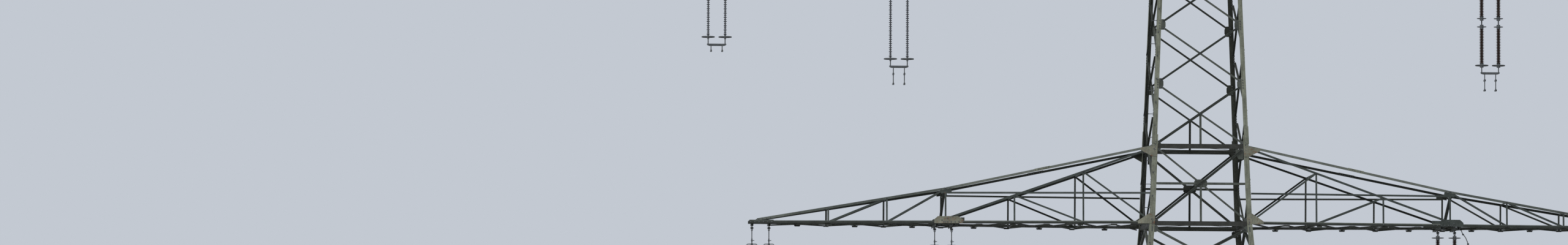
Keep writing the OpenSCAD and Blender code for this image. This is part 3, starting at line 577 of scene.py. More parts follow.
def wash_chords(tree, base, patches, level):
    """Mixes painted light on a level's chords, and painted shade along its bottom chords' lower part, into
    the colour of its crossarms.
    """
    steel, foot = settings("pylon_steel"), level.foot
    chord_masks = tree.use("Washed chords", Place=tree.place, Root_reach=level.half, Inner_reach=level.inner,
                    Outer_reach=level.outer, Foot=foot, Root_top=foot + level.root_high,
                    Inner_top=foot + level.inner_high, Tip_top=foot + TIP_HIGH)
    # Painted light on the chords' lit sides, and painted shade on the bottom chord's lower part
    share = (chord_masks["Chord"] * 0.7).larger(chord_masks["Ledge"] * 0.8) * patches.ranged(0, 1, 0.6, 1.0)
    return layered(base, (chord_masks["Grime"] * 0.7, steel.sheltered), (share, steel.washed))


def zinc_material(name, rust_share):
    """Dull zinc with grey mottling, painted shade on its undersides and a little rust."""
    steel = settings("pylon_steel")
    tree = Coat(name)
    weather, shade_masks = tree.weather(0.05, rust_share), tree.use("Shelter", Place=tree.place)
    patches = weather["Patches"]
    # Painted shade on the undersides
    base = layered(patches.mix(shade(steel.zinc, 0.55), steel.zinc), (weather["Rust"] * 0.6, steel.rust),
                   (shade_masks["Under"] * 0.7, steel.sheltered))
    return tree.finish(base, patches.ranged(0, 1, 0.7, 0.48), weather["Height"], 0.0005, Metallic=0.35)


def porcelain_material():
    """Brown glaze, glossy, with dust on the upper side of the sheds."""
    glaze = settings("pylon_strings").glaze
    tree = Coat("Brown glazed porcelain")
    patches = tree.weather(0.09, 0.0)["Patches"]
    warm = [min(1.0, c * f) for c, f in zip(glaze, (1.7, 1.35, 1.2))]
    dust = tree.normal()["Z"].ranged(0.3, 0.9) * 0.35 * patches
    base = layered(patches.mix(glaze, warm), (dust, from_hex("6E675C")))
    return tree.finish(base, dust.ranged(0, 0.35, 0.16, 0.55), patches, 0.0004,
                       Coat_Weight=0.5, Coat_Roughness=0.08)


def silicone_material():
    """Grey rubber, dull, with soot and dust."""
    rubber = settings("pylon_strings").silicone
    tree = Coat("Grey silicone rubber")
    weather = tree.weather(0.12, 0.0)
    patches = weather["Patches"]
    base = layered(patches.mix(rubber, shade(rubber, 1.35)), (weather["Streaks"] * 0.5, shade(rubber, 0.6)))
    return tree.finish(base, patches.ranged(0, 1, 0.62, 0.85), patches, 0.0005)


def concrete_material():
    """Weathered concrete: cement mottling, pores, form board lines, moss low down and rust at the leg."""
    tree = Coat("Weathered concrete")
    place, where = tree.place, tree.place.split()
    cloudy, grain = place.noise(5.0, 6.0, 0.62), place.noise(150.0, 4.0, 0.6)
    streaks = place.noise(1.0, 3.0, 0.6, stretch=(22.0, 22.0, 3.0))
    low = where["Z"].ranged(0.12, 0.0) * cloudy.ranged(0.4, 0.6)
    # Distance of the middle of a footing from the axis, along X and Y
    foot = lower_half(-KNEE_Z * LOWER_SLOPE) - LEG_WIDE / 2
    from_leg = abs(abs(where["X"]) - foot).larger(abs(abs(where["Y"]) - foot))
    seep = from_leg.ranged(0.16, 0.05) * cloudy.ranged(0.35, 0.6, 0.2, 0.8)
    base = layered(
        cloudy.ranged(0.3, 0.7).mix(from_hex("7E7B73"), from_hex("A8A59C")),
        (grain * 0.35, from_hex("5F5C56")), (streaks.ranged(0.52, 0.75, 0, 0.6), from_hex("59564E")),
        (low * 0.7, from_hex("4B5238")), (seep, settings("pylon_steel").rust))
    boards = tree.add("ShaderNodeTexWave", "Fac", {"Scale": 2.6, "Distortion": 0.6, "Vector": place},
                      bands_direction="Z").ranged(0.0, 0.12)
    pores = tree.add("ShaderNodeTexVoronoi", "Distance", {"Scale": 60.0, "Vector": place})
    relief = boards * 0.3 + pores.ranged(0.08, 0.25) * 0.4 + grain * 0.3
    return tree.finish(base, 0.9, relief, 0.003)


def wear(material, *starts, end=""):
    """Gives a material to the CAD nodes whose names start and end so."""
    for name in sorted(frame["nodes"]):
        if name.startswith(starts or "") and name.endswith(end):
            data = frame["nodes"][name].data
            data.materials.clear()
            data.materials.append(material)


# Meshes

def add_piece(name, mesh, slot, body):
    """A finished piece, which rides on a body. The slot is not used."""
    piece = bpy.data.objects.new(name, mesh)
    bpy.context.scene.collection.objects.link(piece)
    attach(piece, body)
    return piece


def circle(sides):
    """Cosine and sine of even turns."""
    turns = [2 * math.pi * n / sides for n in range(sides)]
    return [(math.cos(turn), math.sin(turn)) for turn in turns]


class Shape:
    """Points and faces of a piece while it is built, in the frame."""

    def __init__(self):
        self.points = []
        self.faces = []

    def finish(self, name, coat, slot, body=BODY):
        """Makes the piece, with the material named coat."""
        mesh = bpy.data.meshes.new(name)
        mesh.from_pydata([tuple(p) for p in self.points], [], self.faces)
        tidy = bmesh.new()
        tidy.from_mesh(mesh)
        bmesh.ops.recalc_face_normals(tidy, faces=tidy.faces)
        tidy.to_mesh(mesh)
        tidy.free()
        mesh.materials.append(bpy.data.materials[coat])
        add_piece(name, mesh, slot, body)

    def prism(self, outline, place_of, start, end):
        """Adds a prism: an outline of pairs, put in place by place_of(pair, end point)."""
        first, count = len(self.points), len(outline)
        for point in (start, end):
            self.points.extend(place_of(pair, point) for pair in outline)
        self.faces.append(tuple(range(first, first + count)))
        self.faces.append(tuple(range(first + 2 * count - 1, first + count - 1, -1)))
        for n in range(count):
            m = (n + 1) % count
            self.faces.append((first + n, first + count + n, first + count + m, first + m))

    def angle(self, start, end, flat, turned, wide, thick):
        """Adds an angle bar from start to end, its heel on that line, its flanges along two directions."""
        along = (end - start).normalized()
        flat = (flat - flat.dot(along) * along).normalized()
        turned = (turned - turned.dot(along) * along - turned.dot(flat) * flat).normalized()
        outline = [(0, 0), (wide, 0), (wide, thick), (thick, thick), (thick, wide), (0, wide)]
        self.prism(outline, lambda p, at: at + flat * p[0] + turned * p[1], start, end)

    def plate(self, corners, normal, thick):
        """Adds a plate: its corners on one side and its thickness along a normal."""
        self.prism(range(len(corners)), lambda n, shift: corners[n] + shift, Vector(), normal * thick)

    def block(self, centre, size):
        wide, deep, high = (s / 2 for s in size)
        corners = [centre + Vector((x * wide, y * deep, -high)) for x, y in SQUARE]
        self.plate(corners, UP, size[2])

    def rod(self, start, end, radius, sides):
        along = (end - start).normalized()
        side = along.orthogonal().normalized()
        other = along.cross(side)
        outline = [(radius * c, radius * s) for c, s in circle(sides)]
        self.prism(outline, lambda p, at: at + side * p[0] + other * p[1], start, end)

    def bent_rod(self, path, radius):
        """Adds a round bar that follows a path of points, closed at both ends."""
        first, sides = len(self.points), 8
        side = (path[1] - path[0]).normalized().orthogonal().normalized()
        for n, point in enumerate(path):
            before, after = path[max(n - 1, 0)], path[min(n + 1, len(path) - 1)]
            along = (after - before).normalized()
            side = (side - side.dot(along) * along).normalized()
            other = along.cross(side)
            self.points += [point + radius * (side * c + other * s) for c, s in circle(sides)]
        for n in range(len(path) - 1):
            for m in range(sides):
                low, high = first + n * sides, first + (n + 1) * sides
                self.faces.append((low + m, low + (m + 1) % sides, high + (m + 1) % sides, high + m))
        self.faces.append(tuple(range(first + sides - 1, first - 1, -1)))
        self.faces.append(tuple(range(first + (len(path) - 1) * sides, first + len(path) * sides)))

    def ball(self, centre, radius):
        """Adds a ball of flat faces."""
        first, sides, rings = len(self.points), 10, 6
        self.points.append(centre + UP * radius)
        for n in range(1, rings):
            out, up = math.sin(math.pi * n / rings), math.cos(math.pi * n / rings)
            self.points += [centre + radius * Vector((out * c, out * s, up)) for c, s in circle(sides)]
        self.points.append(centre - UP * radius)
        last = len(self.points) - 1
        for m in range(sides):
            after = (m + 1) % sides
            self.faces.append((first, first + 1 + m, first + 1 + after))
            self.faces.append((last, last - sides + after, last - sides + m))
            for n in range(rings - 2):
                row = first + 1 + n * sides
                self.faces.append((row + m, row + sides + m, row + sides + after, row + after))


# Geometry node trees

def new_geometry_tree(name, inputs):
    """A tree that takes points, named inputs and a material, and gives a geometry."""
    inputs = {"Geometry": "Geometry", **inputs, "Material": "Material"}
    return new_group("Geometry", name, inputs, ("Geometry",))


def cylinder(tree, sides, radius, depth, base):
    """A cylinder that stands on the height base."""
    body = tree.add("GeometryNodeMeshCylinder", "Mesh", {
        "Vertices": sides, "Radius": radius, "Depth": depth})
    inputs = {"Geometry": body, "Translation": tree.upright(depth * 0.5 + base)}
    return tree.add("GeometryNodeTransform", "Geometry", inputs)


def joined(tree, *parts):
    joint = tree.data.nodes.new("GeometryNodeJoinGeometry")
    for part in parts:
        tree.feed(joint.inputs[0], part)
    return Value(tree, joint.outputs[0])


def stand_on_facing(tree):
    """The rotation that stands a shape along its point's facing."""
    facing = tree.add("GeometryNodeInputNamedAttribute", "Attribute", {"Name": "facing"},
                      data_type="FLOAT_VECTOR")
    return tree.add("FunctionNodeAlignRotationToVector", "Rotation", {"Vector": facing}, axis="Z")


def put_on_points(tree, given, shape, rotation=None):
    """Puts a shape on every point, and ends the tree in Realize Instances and Set Material."""
    inputs = {"Points": given["Geometry"], "Instance": shape, "Rotation": rotation}
    placed = tree.add("GeometryNodeInstanceOnPoints", "Instances", inputs)
    real = tree.add("GeometryNodeRealizeInstances", "Geometry", {"Geometry": placed})
    inputs = {"Geometry": real, "Material": given["Material"]}
    tree.end(Geometry=tree.add("GeometryNodeSetMaterial", "Geometry", inputs))
    return tree.data


def make_bolt_tree():
    """A hexagon head on a washer at each point, standing along the point's facing."""
    tree, given = new_geometry_tree("Bolts on points", {
        "Head radius": 0.009, "Head height": 0.006, "Washer radius": 0.0115, "Washer height": 0.0015,
        "Seed": 7})
    head = cylinder(tree, 6, given["Head radius"], given["Head height"], given["Washer height"])
    washer = cylinder(tree, 8, given["Washer radius"], given["Washer height"], 0.0)
    # A hexagon looks the same after a turn of pi / 3
    turn = tree.add("FunctionNodeRandomValue", 1, {3: math.pi / 3, "Seed": given["Seed"]}, data_type="FLOAT")
    spin = tree.add("FunctionNodeAxisAngleToRotation", "Rotation", {"Angle": turn})
    inputs = {"Rotation": stand_on_facing(tree), "Rotate By": spin}
    both = tree.add("FunctionNodeRotateRotation", "Rotation", inputs, rotation_space="LOCAL")
    return put_on_points(tree, given, joined(tree, washer, head), both)


def make_peg_tree():
    """A round peg with a collar and a knob at each point, along the point's facing."""
    tree, given = new_geometry_tree("Pegs on points", {"Radius": 0.0055, "Length": 0.085})
    radius, long = given["Radius"], given["Length"]
    shaft = cylinder(tree, 10, radius, long, 0.0)
    collar = cylinder(tree, 6, radius * 2.0, radius * 1.3, 0.0)
    knob = cylinder(tree, 8, radius * 1.9, radius * 1.0, long)
    return put_on_points(tree, given, joined(tree, shaft, collar, knob), stand_on_facing(tree))


# Points along each shed of a rod, and the shed's outline from one shed's root to the next:
# (share of the pitch, share of the radius between core and rim)
STATIONS = 6.0
SHED_OUTLINE = ((0.2, 0.02), (0.5, 0.62), (0.68, 1.0))


def make_rod_tree():
    """A shedded rod below each point: a circle swept down a line, as wide as the sheds' outline says."""
    tree, given = new_geometry_tree("Shedded rods", {
        "Length": 0.6, "Core": 0.02, "Shed": 0.045, "Small shed": 1.0, "Sheds": 20, "Sides": 18})
    line = tree.add("GeometryNodeCurvePrimitiveLine", "Curve", {"End": tree.upright(given["Length"] * -1.0)})
    inputs = {"Curve": line, "Count": given["Sheds"] * STATIONS + 1.0}
    steps = tree.add("GeometryNodeResampleCurve", "Curve", inputs)
    index = tree.add("GeometryNodeInputIndex", 0)
    outline = tree.add("ShaderNodeFloatCurve", 0, {"Value": index % STATIONS / STATIONS})
    mapping = outline.socket.node.mapping
    points = mapping.curves[0].points
    points[0].location = (0.0, 0.0)
    for place, value in SHED_OUTLINE:
        points.new(place, value)
    points[len(points) - 1].location = (1.0, 0.0)
    for point in points:
        point.handle_type = "VECTOR"
    mapping.update()
    # Every second shed may be smaller
    odd = (index / STATIONS).math("FLOOR") % 2.0
    size = 1.0 - odd * (1.0 - given["Small shed"])
    radius = given["Core"] + (given["Shed"] - given["Core"]) * size * outline
    ring = tree.add("GeometryNodeCurvePrimitiveCircle", "Curve", {
        "Resolution": given["Sides"], "Radius": 1.0})
    rod = tree.add("GeometryNodeCurveToMesh", "Mesh", {
        "Curve": steps, "Profile Curve": ring, "Scale": radius, "Fill Caps": True})
    return put_on_points(tree, given, rod)


def grow(name, points, facings, tree, values, slot, body=BODY, smooth=None):
    """Runs a Geometry Nodes tree on points and keeps the result as a plain mesh riding on a body."""
    seed = bpy.data.meshes.new(name + "_points")
    seed.from_pydata([tuple(p) for p in points], [], [])
    if facings:
        facing = seed.attributes.new("facing", "FLOAT_VECTOR", "POINT")
        for n, direction in enumerate(facings):
            facing.data[n].vector = direction
    holder = bpy.data.objects.new(name + "_points", seed)
    bpy.context.scene.collection.objects.link(holder)
    modifier = holder.modifiers.new("Grow", "NODES")
    modifier.node_group = tree
    sockets = {s.name: s.identifier for s in tree.interface.items_tree
               if s.item_type == "SOCKET" and s.in_out == "INPUT"}
    for label, value in values.items():
        modifier[sockets[label]] = value
    view = bpy.context.evaluated_depsgraph_get()
    mesh = bpy.data.meshes.new_from_object(holder.evaluated_get(view))
    bpy.data.objects.remove(holder)
    bpy.data.meshes.remove(seed)
    mesh.name = name
    if "facing" in mesh.attributes:
        mesh.attributes.remove(mesh.attributes["facing"])
    if smooth is not None:
        mesh.shade_smooth()
        mesh.set_sharp_from_angle(angle=smooth)
    return add_piece(name, mesh, slot, body)


# Places of the bolts

# From a joint plate's upper or lower edge, and from the leg's corner, to a bolt in the leg
BOLT_EDGE = 0.024
BOLT_IN = 0.052
# From a diagonal's end to its bolts
BAR_BOLTS = (0.095, 0.125)
# Rows of bolts in the chords, from the inner or outer strings: first, last and count
INNER_FOOT_BOLTS = (-0.29, 0.03, 6)
INNER_TOP_BOLTS = (-0.07, 0.07, 4)
INSIDE_BOLTS = (-0.12, 0.06, 3)
OUTER_TOP_BOLTS = (-0.16, 0.04, 4)
# The row in the bottom chord's outer end: from the outer strings, and from the tip
OUTER_FOOT_BACK = 0.185
OUTER_FOOT_EDGE = 0.03
OUTER_FOOT_COUNT = 6
SPLICE_BOLTS = (-0.11, -0.07, -0.03, 0.03, 0.07, 0.11)


def face_joints(k):
    """Joints of body face k: (matrix, level, width function, room down and up, levels next to it)."""
    found = []
    side_face = k % 2 == 1
    for levels, half_of, lean in zip(body_levels(), (upper_half, lower_half), (UPPER_LEAN, LOWER_LEAN)):
        below_knee = lean == LOWER_LEAN
        if side_face:
            levels = [crossing(low, high, half_of) for low, high in zip(levels, levels[1:])]
        if below_knee:
            foot = -(KNEE_Z - FOOT_JOINT) * LOWER_SLOPE + SIDE_FOOT_LIFT
            start = LOWER_TOP - LOWER_BRACE_WIDE / 2 - EDGE_GAP
            levels = levels[:-1] + [foot] if side_face else [start] + levels[1:]
        for n, v in enumerate(levels):
            down, up = PLATE_RISE, min(PLATE_RISE, LOWER_TOP - EDGE_GAP - v)
            if not below_knee:
                down, up = min(PLATE_RISE, v - LOWER_TOP), min(PLATE_RISE, LEVELS[2].high_v - EDGE_GAP - v)
            before = levels[n - 1] if n else None
            after = levels[n + 1] if n + 1 < len(levels) else None
            found.append((face_place(k, lean), v, half_of, (down, up), before, after))
    return found


def bolt_places_on_body():
    """Places and facings of the bolts on the body's joint plates, diagonals and their crossings."""
    points, facings = [], []
    inner = -(LEG_THICK + SEAT + BRACE_THICK)

    def put(place, u, v, w, outwards):
        points.append(place @ Vector((u, v, w)))
        facings.append(place.to_3x3() @ (UP if outwards else -UP))

    for k in range(4):
        for place, v, half_of, (down, up), before, after in face_joints(k):
            half = half_of(v)
            for side in SIDES:
                for rise in even_rows(BOLT_EDGE - down, up - BOLT_EDGE, 4):
                    u = side * (half_of(v + rise) - BOLT_IN)
                    put(place, u, v + rise, 0.0, True)
                    put(place, u, v + rise, inner, False)
                for other in (before, after):
                    if other is None:
                        continue
                    start = Vector((side * (half - BAR_INSET), v))
                    end = Vector((-side * (half_of(other) - BAR_INSET), other))
                    along = (end - start).normalized()
                    for far in BAR_BOLTS:
                        spot = start + along * far
                        put(place, spot.x, spot.y, inner + BRACE_THICK, True)
                if after is not None and side == 1:
                    middle = crossing(v, after, half_of)
                    put(place, 0.0, middle, inner + BRACE_THICK, True)
                    put(place, 0.0, middle, inner, False)
    return points, facings


def chord_bolt_rows(level):
    """Places (distance, height) of the bolts through a level's chords and the plates behind them."""
    tip = level.outer + TWIN_PITCH / 2 + TIP_OUT
    foot = CHORD_WIDE / 2 - CHORD_DROP

    def row(start, bolts):
        return even_rows(start + bolts[0], start + bolts[1], bolts[2])

    feet = row(level.inner, INNER_FOOT_BOLTS)
    feet += even_rows(level.outer - OUTER_FOOT_BACK, tip - OUTER_FOOT_EDGE, OUTER_FOOT_COUNT)
    tops = row(level.inner, INNER_TOP_BOLTS) + row(level.outer, OUTER_TOP_BOLTS)
    tops += [level.splice + x for x in SPLICE_BOLTS]
    return ([(x, foot) for x in feet] + [(x, level.top_rise(x) - TOP_WIDE / 2) for x in tops]
            + [(x, level.low_rise(x)) for x in row(level.inner, INSIDE_BOLTS)])


def bolt_places_on_arms():
    """Places and facings of the bolts where the bars of the crossarms meet, heads out and nuts in."""
    points, facings = [], []
    for truss in TRUSSES:
        level, normal = truss.level, truss.normal
        for x, rise in chord_bolt_rows(level) + [end for line in level.web_lines() for end in line]:
            place = truss.point(x, rise)
            points += [place + normal * cover_lift(truss, x, rise), place - normal * 2 * ARM_THICK]
            facings += [normal, -normal]
    return points, facings


# Outer plates at the inner strings: how far they reach towards the body and the tip, on the left and
# right crossarms; their lower edge, shoulders and upper edge; how far the upper edge is cut at its ends
FOOT_COVERS = {-1: (0.3, 0.19), 1: (0.17, 0.23)}
COVER_LOW = -0.022
COVER_SHOULDER = 0.045
COVER_HIGH = 0.098
COVER_CUTS = (0.09, 0.06)


def cover_lift(truss, x, rise):
    """How far a bolt head is lifted by the outer plate at the inner strings, if it is on that plate."""
    back, ahead = FOOT_COVERS[truss.side]
    away = x - truss.level.inner
    return SEAT + ARM_THICK if -back < away < ahead and COVER_LOW < rise < COVER_HIGH else 0.0


# Floor: half its width, how far it lies under the footings, and how far the camera sees
FLOOR_HALF = 3000.0
FLOOR_SINK = 0.002
SENSOR_WIDE = 36
CLIP = (1.0, 3000.0)
# Direction and angle of the main light
SUN_FROM = (-0.45, -0.62, 0.85)
SUN_ANGLE = math.radians(25)


class PYLON_OT_stage(bpy.types.Operator):
    """Makes the floor, the light and the camera"""

    bl_idname = "pylon.stage"
    bl_label = "Stage, light and camera"

    def execute(self, context):
        stage = settings("pylon_stage")
        scene = context.scene
        scene.view_settings.view_transform = "Standard"
        self.make_world(stage, scene)
        self.make_floor(stage, scene)
        self.make_light(stage, scene)
        self.make_camera(stage, scene)
        return {"FINISHED"}

    def make_world(self, stage, scene):
        """Even light, and the pale backdrop that the camera, gloss and glass see."""
        world = scene.world or bpy.data.worlds.new("World")
        scene.world = world
        world.use_nodes = True
        world.node_tree.nodes.clear()
        tree = Tree(world.node_tree)
        even = tree.add("ShaderNodeBackground", 0, {"Strength": stage.sky_strength})
        seen = tree.add("ShaderNodeBackground", 0, {"Color": stage.backdrop})
        rays = tree.add("ShaderNodeLightPath")
        factor = rays["Is Camera Ray"].larger(rays["Is Glossy Ray"]).larger(rays["Is Transmission Ray"])
        either = tree.add("ShaderNodeMixShader", 0, {0: factor, 1: even, 2: seen})
        tree.add("ShaderNodeOutputWorld", None, {"Surface": either})

    def make_floor(self, stage, scene):
        mesh = bpy.data.meshes.new("floor")
        mesh.from_pydata([(x * FLOOR_HALF, y * FLOOR_HALF, 0) for x, y in SQUARE], [], [(0, 1, 2, 3)])
        tree = Coat("Pale floor")
        base = tree.place.noise(0.05, 2.0, 0.5).mix(shade(stage.floor, 0.97), stage.floor)
        mesh.materials.append(tree.finish(base, 0.95, Specular_IOR_Level=0.0))
        floor = bpy.data.objects.new("floor", mesh)
        floor.location.z = -FLOOR_SINK
        scene.collection.objects.link(floor)

    def make_light(self, stage, scene):
        sun = bpy.data.lights.new("Main light", "SUN")
        sun.energy = stage.sun_strength
        sun.angle = SUN_ANGLE
        lamp = bpy.data.objects.new("Main light", sun)
        lamp.rotation_mode = "QUATERNION"
        lamp.rotation_quaternion = Vector(SUN_FROM).to_track_quat("Z", "Y")
        scene.collection.objects.link(lamp)

    def make_camera(self, stage, scene):
        turn, tilt = math.radians(stage.azimuth), math.radians(stage.elevation)
        back = Vector((math.sin(turn) * math.cos(tilt), -math.cos(turn) * math.cos(tilt), math.sin(tilt)))
        data = bpy.data.cameras.new("Camera")
        data.sensor_width = SENSOR_WIDE
        data.lens = stage.lens
        data.clip_start, data.clip_end = CLIP
        camera = bpy.data.objects.new("Camera", data)
        camera.rotation_mode = "QUATERNION"
        roll = Matrix.Rotation(math.radians(stage.roll), 4, back)
        straight = (-back).to_track_quat("-Z", "Y").to_matrix().to_4x4()
        camera.rotation_quaternion = (roll @ straight).to_quaternion()
        camera.location = Vector((stage.aim_x, 0, stage.aim_z)) + back * stage.distance
        scene.collection.objects.link(camera)
        scene.camera = camera


class PYLON_OT_finishes(bpy.types.Operator):
    """Gives the steel, the concrete and the fittings their finish"""

    bl_idname = "pylon.finishes"
    bl_label = "Finishes of the frame"

    def execute(self, context):
        steel = settings("pylon_steel")
        make_shelter_group()
        make_weather_group()
        make_chord_group()
        # Every steel coat takes painted shade on its inner and lower sides
        coat = steel_material("Weathered leg coat", steel.coat)
        brace = steel_material("Weathered bracing coat", steel.brace, streaked=0.3, belts=True)
        # A dark coat of painted shade, for the bars under the crossarms
        steel_material("Sheltered coat", steel.sheltered, streaked=0.1)
        # The crossarms' darker coat, which is painted shade, also on the light bars
        steel_material("Fine bracing coat", steel.arm, streaked=0.15)
        steel_material("Plate coat", steel.primer, streaked=0.2, rust_share=0.45)
        zinc_material("Zinc bolts", 0.35)
        wear(coat, "leg_", "earth_")
        wear(brace, "lower_bracing", "upper_bracing", "plan_")
        # Crossarm coats: darker as painted shade, with painted light on the chords and painted shade on the
        # inner and lower sides
        for level in LEVELS:
            name = f"Weathered {level.name} crossarm coat"
            wear(steel_material(name, steel.arm, streaked=0.15, washed=level), f"{level.name}_arm")
        wear(concrete_material(), "footings")
        wear(zinc_material("Dull zinc fittings", 0.25), end="_fittings")
        return {"FINISHED"}


# A shed's edge stays sharp over this angle; the gap between two rods of a string is longer than this
SHED_SHARP = math.radians(38)
ROD_GAP = 0.1
# Size of every second shed of a composite rod
SMALL_SHED = 0.72


class PYLON_OT_insulators(bpy.types.Operator):
    """Makes the insulators with all their sheds"""

    bl_idname = "pylon.insulators"
    bl_label = "Insulators"

    def execute(self, context):
        strings = settings("pylon_strings")
        tree = make_rod_tree()
        porcelain, silicone = porcelain_material(), silicone_material()
        for name in sorted(n for n in frame["nodes"] if n.endswith("_insulators")):
            left = "_left_" in name
            tops, long = self.rods(name)
            if left:
                values = {"Core": strings.composite_core, "Shed": strings.composite_shed,
                          "Small shed": SMALL_SHED, "Sheds": round(long / strings.composite_pitch),
                          "Material": silicone}
            else:
                values = {"Core": strings.porcelain_core, "Shed": strings.porcelain_shed,
                          "Small shed": 1.0, "Sheds": strings.porcelain_count, "Material": porcelain}
            values.update({"Length": long, "Sides": strings.sides})
            piece = grow(name.replace("_insulators", "_sheds"), tops, None, tree, values,
                         "composite_sheds" if left else "brown_porcelain",
                         body=name.replace("_insulators", "_set"), smooth=SHED_SHARP)
            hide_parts(name)
        return {"FINISHED"}

    def rods(self, name):
        """The upper ends of the rods of a set, and the length of one, from its node's heights."""
        low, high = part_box(name)
        if "_left_" in name:
            tops, long = [high.z], high.z - low.z
        else:
            heights = sorted({round(v.co.z, 5) for v in frame["nodes"][name].data.vertices})
            breaks = [n for n in range(1, len(heights)) if heights[n] - heights[n - 1] > ROD_GAP]
            tops = [heights[-1]] + [heights[n - 1] for n in breaks]
            long = heights[-1] - heights[breaks[-1]]
        middle = (low.x + high.x) / 2
        tops = [Vector((middle + side * TWIN_PITCH / 2, 0, z)) for z in tops for side in SIDES]
        return tops, long


WASHER_THICK = 0.0015
BOLT_SEED = 7
# Climbing steps: height of the first over its footing, end under the body's top, and distance from the
# leg's corner
FIRST_STEP = 1.2
STEPS_END = 0.15
STEP_IN = 0.026


class PYLON_OT_bolts(bpy.types.Operator):
    """Puts bolts on the joint plates and climbing steps on one leg"""

    bl_idname = "pylon.bolts"
    bl_label = "Bolts and climbing steps"

    def execute(self, context):
        bolts = settings("pylon_bolts")
        zinc = bpy.data.materials["Zinc bolts"]
        tree = make_bolt_tree()
        values = {"Head radius": bolts.head_radius, "Head height": bolts.head_high,
                  "Washer radius": bolts.washer_radius, "Washer height": WASHER_THICK, "Seed": BOLT_SEED,
                  "Material": zinc}
        grow("body_bolts", *bolt_places_on_body(), tree, values, "galvanized_fittings")
        grow("arm_bolts", *bolt_places_on_arms(), tree, values, "galvanized_fittings")
        values = {"Radius": bolts.step_radius, "Length": bolts.step_long, "Material": zinc}
        grow("climbing_steps", *self.step_places(bolts), make_peg_tree(), values, "galvanized_fittings")
        return {"FINISHED"}

    def step_places(self, bolts):
        """Steps up the front left leg, by turns on its two flanges."""
        points, facings = [], []
        height = FOOTING_HIGH + FIRST_STEP
        top = LEVELS[2].foot + LEVELS[2].root_high - STEPS_END
        on_front = True
        while height < top:
            rise = height - KNEE_Z
            half = KNEE_HALF - (UPPER_LEAN if rise > 0 else LOWER_LEAN) * rise
            if on_front:
                points.append(Vector((-half + STEP_IN, -half, height)))
                facings.append(Vector((0, -1, 0)))
            else:
                points.append(Vector((-half, -half + STEP_IN, height)))
                facings.append(Vector((-1, 0, 0)))
            on_front = not on_front
            height += bolts.step_pitch
        return points, facings


# Bent plates between the legs and the crossarms: length along the arm, height, thickness, how far the
# upper one starts lower, how far its edge lies inside the bars' edge, and how much of the leg it covers
ROOT_PLATE_LONG = 0.2
ROOT_PLATE_HIGH = 0.16
ROOT_PLATE_THICK = 0.006
ROOT_PLATE_DROP = 0.02
ROOT_PLATE_EDGE = 0.004
LEG_COVER = LEG_NARROW * 1.15
# Half width, half height and cut corner of the plates where the bars of an arm's bay cross
BAY_PLATE = (0.11, 0.07, 0.03)
# Plates at the heads of the heavy diagonals: width, gap to the leg, drop under the joint, and heights of
# the outer and the inner edge; the bottom edge is this wide
HEAD_PLATE = 0.13
HEAD_GAP = 0.004
HEAD_DROP = 0.05
HEAD_SHORT = 0.07
HEAD_LONG = 0.17
HEAD_FOOT = 0.08
SPLICE_COVER_HALF = 0.135


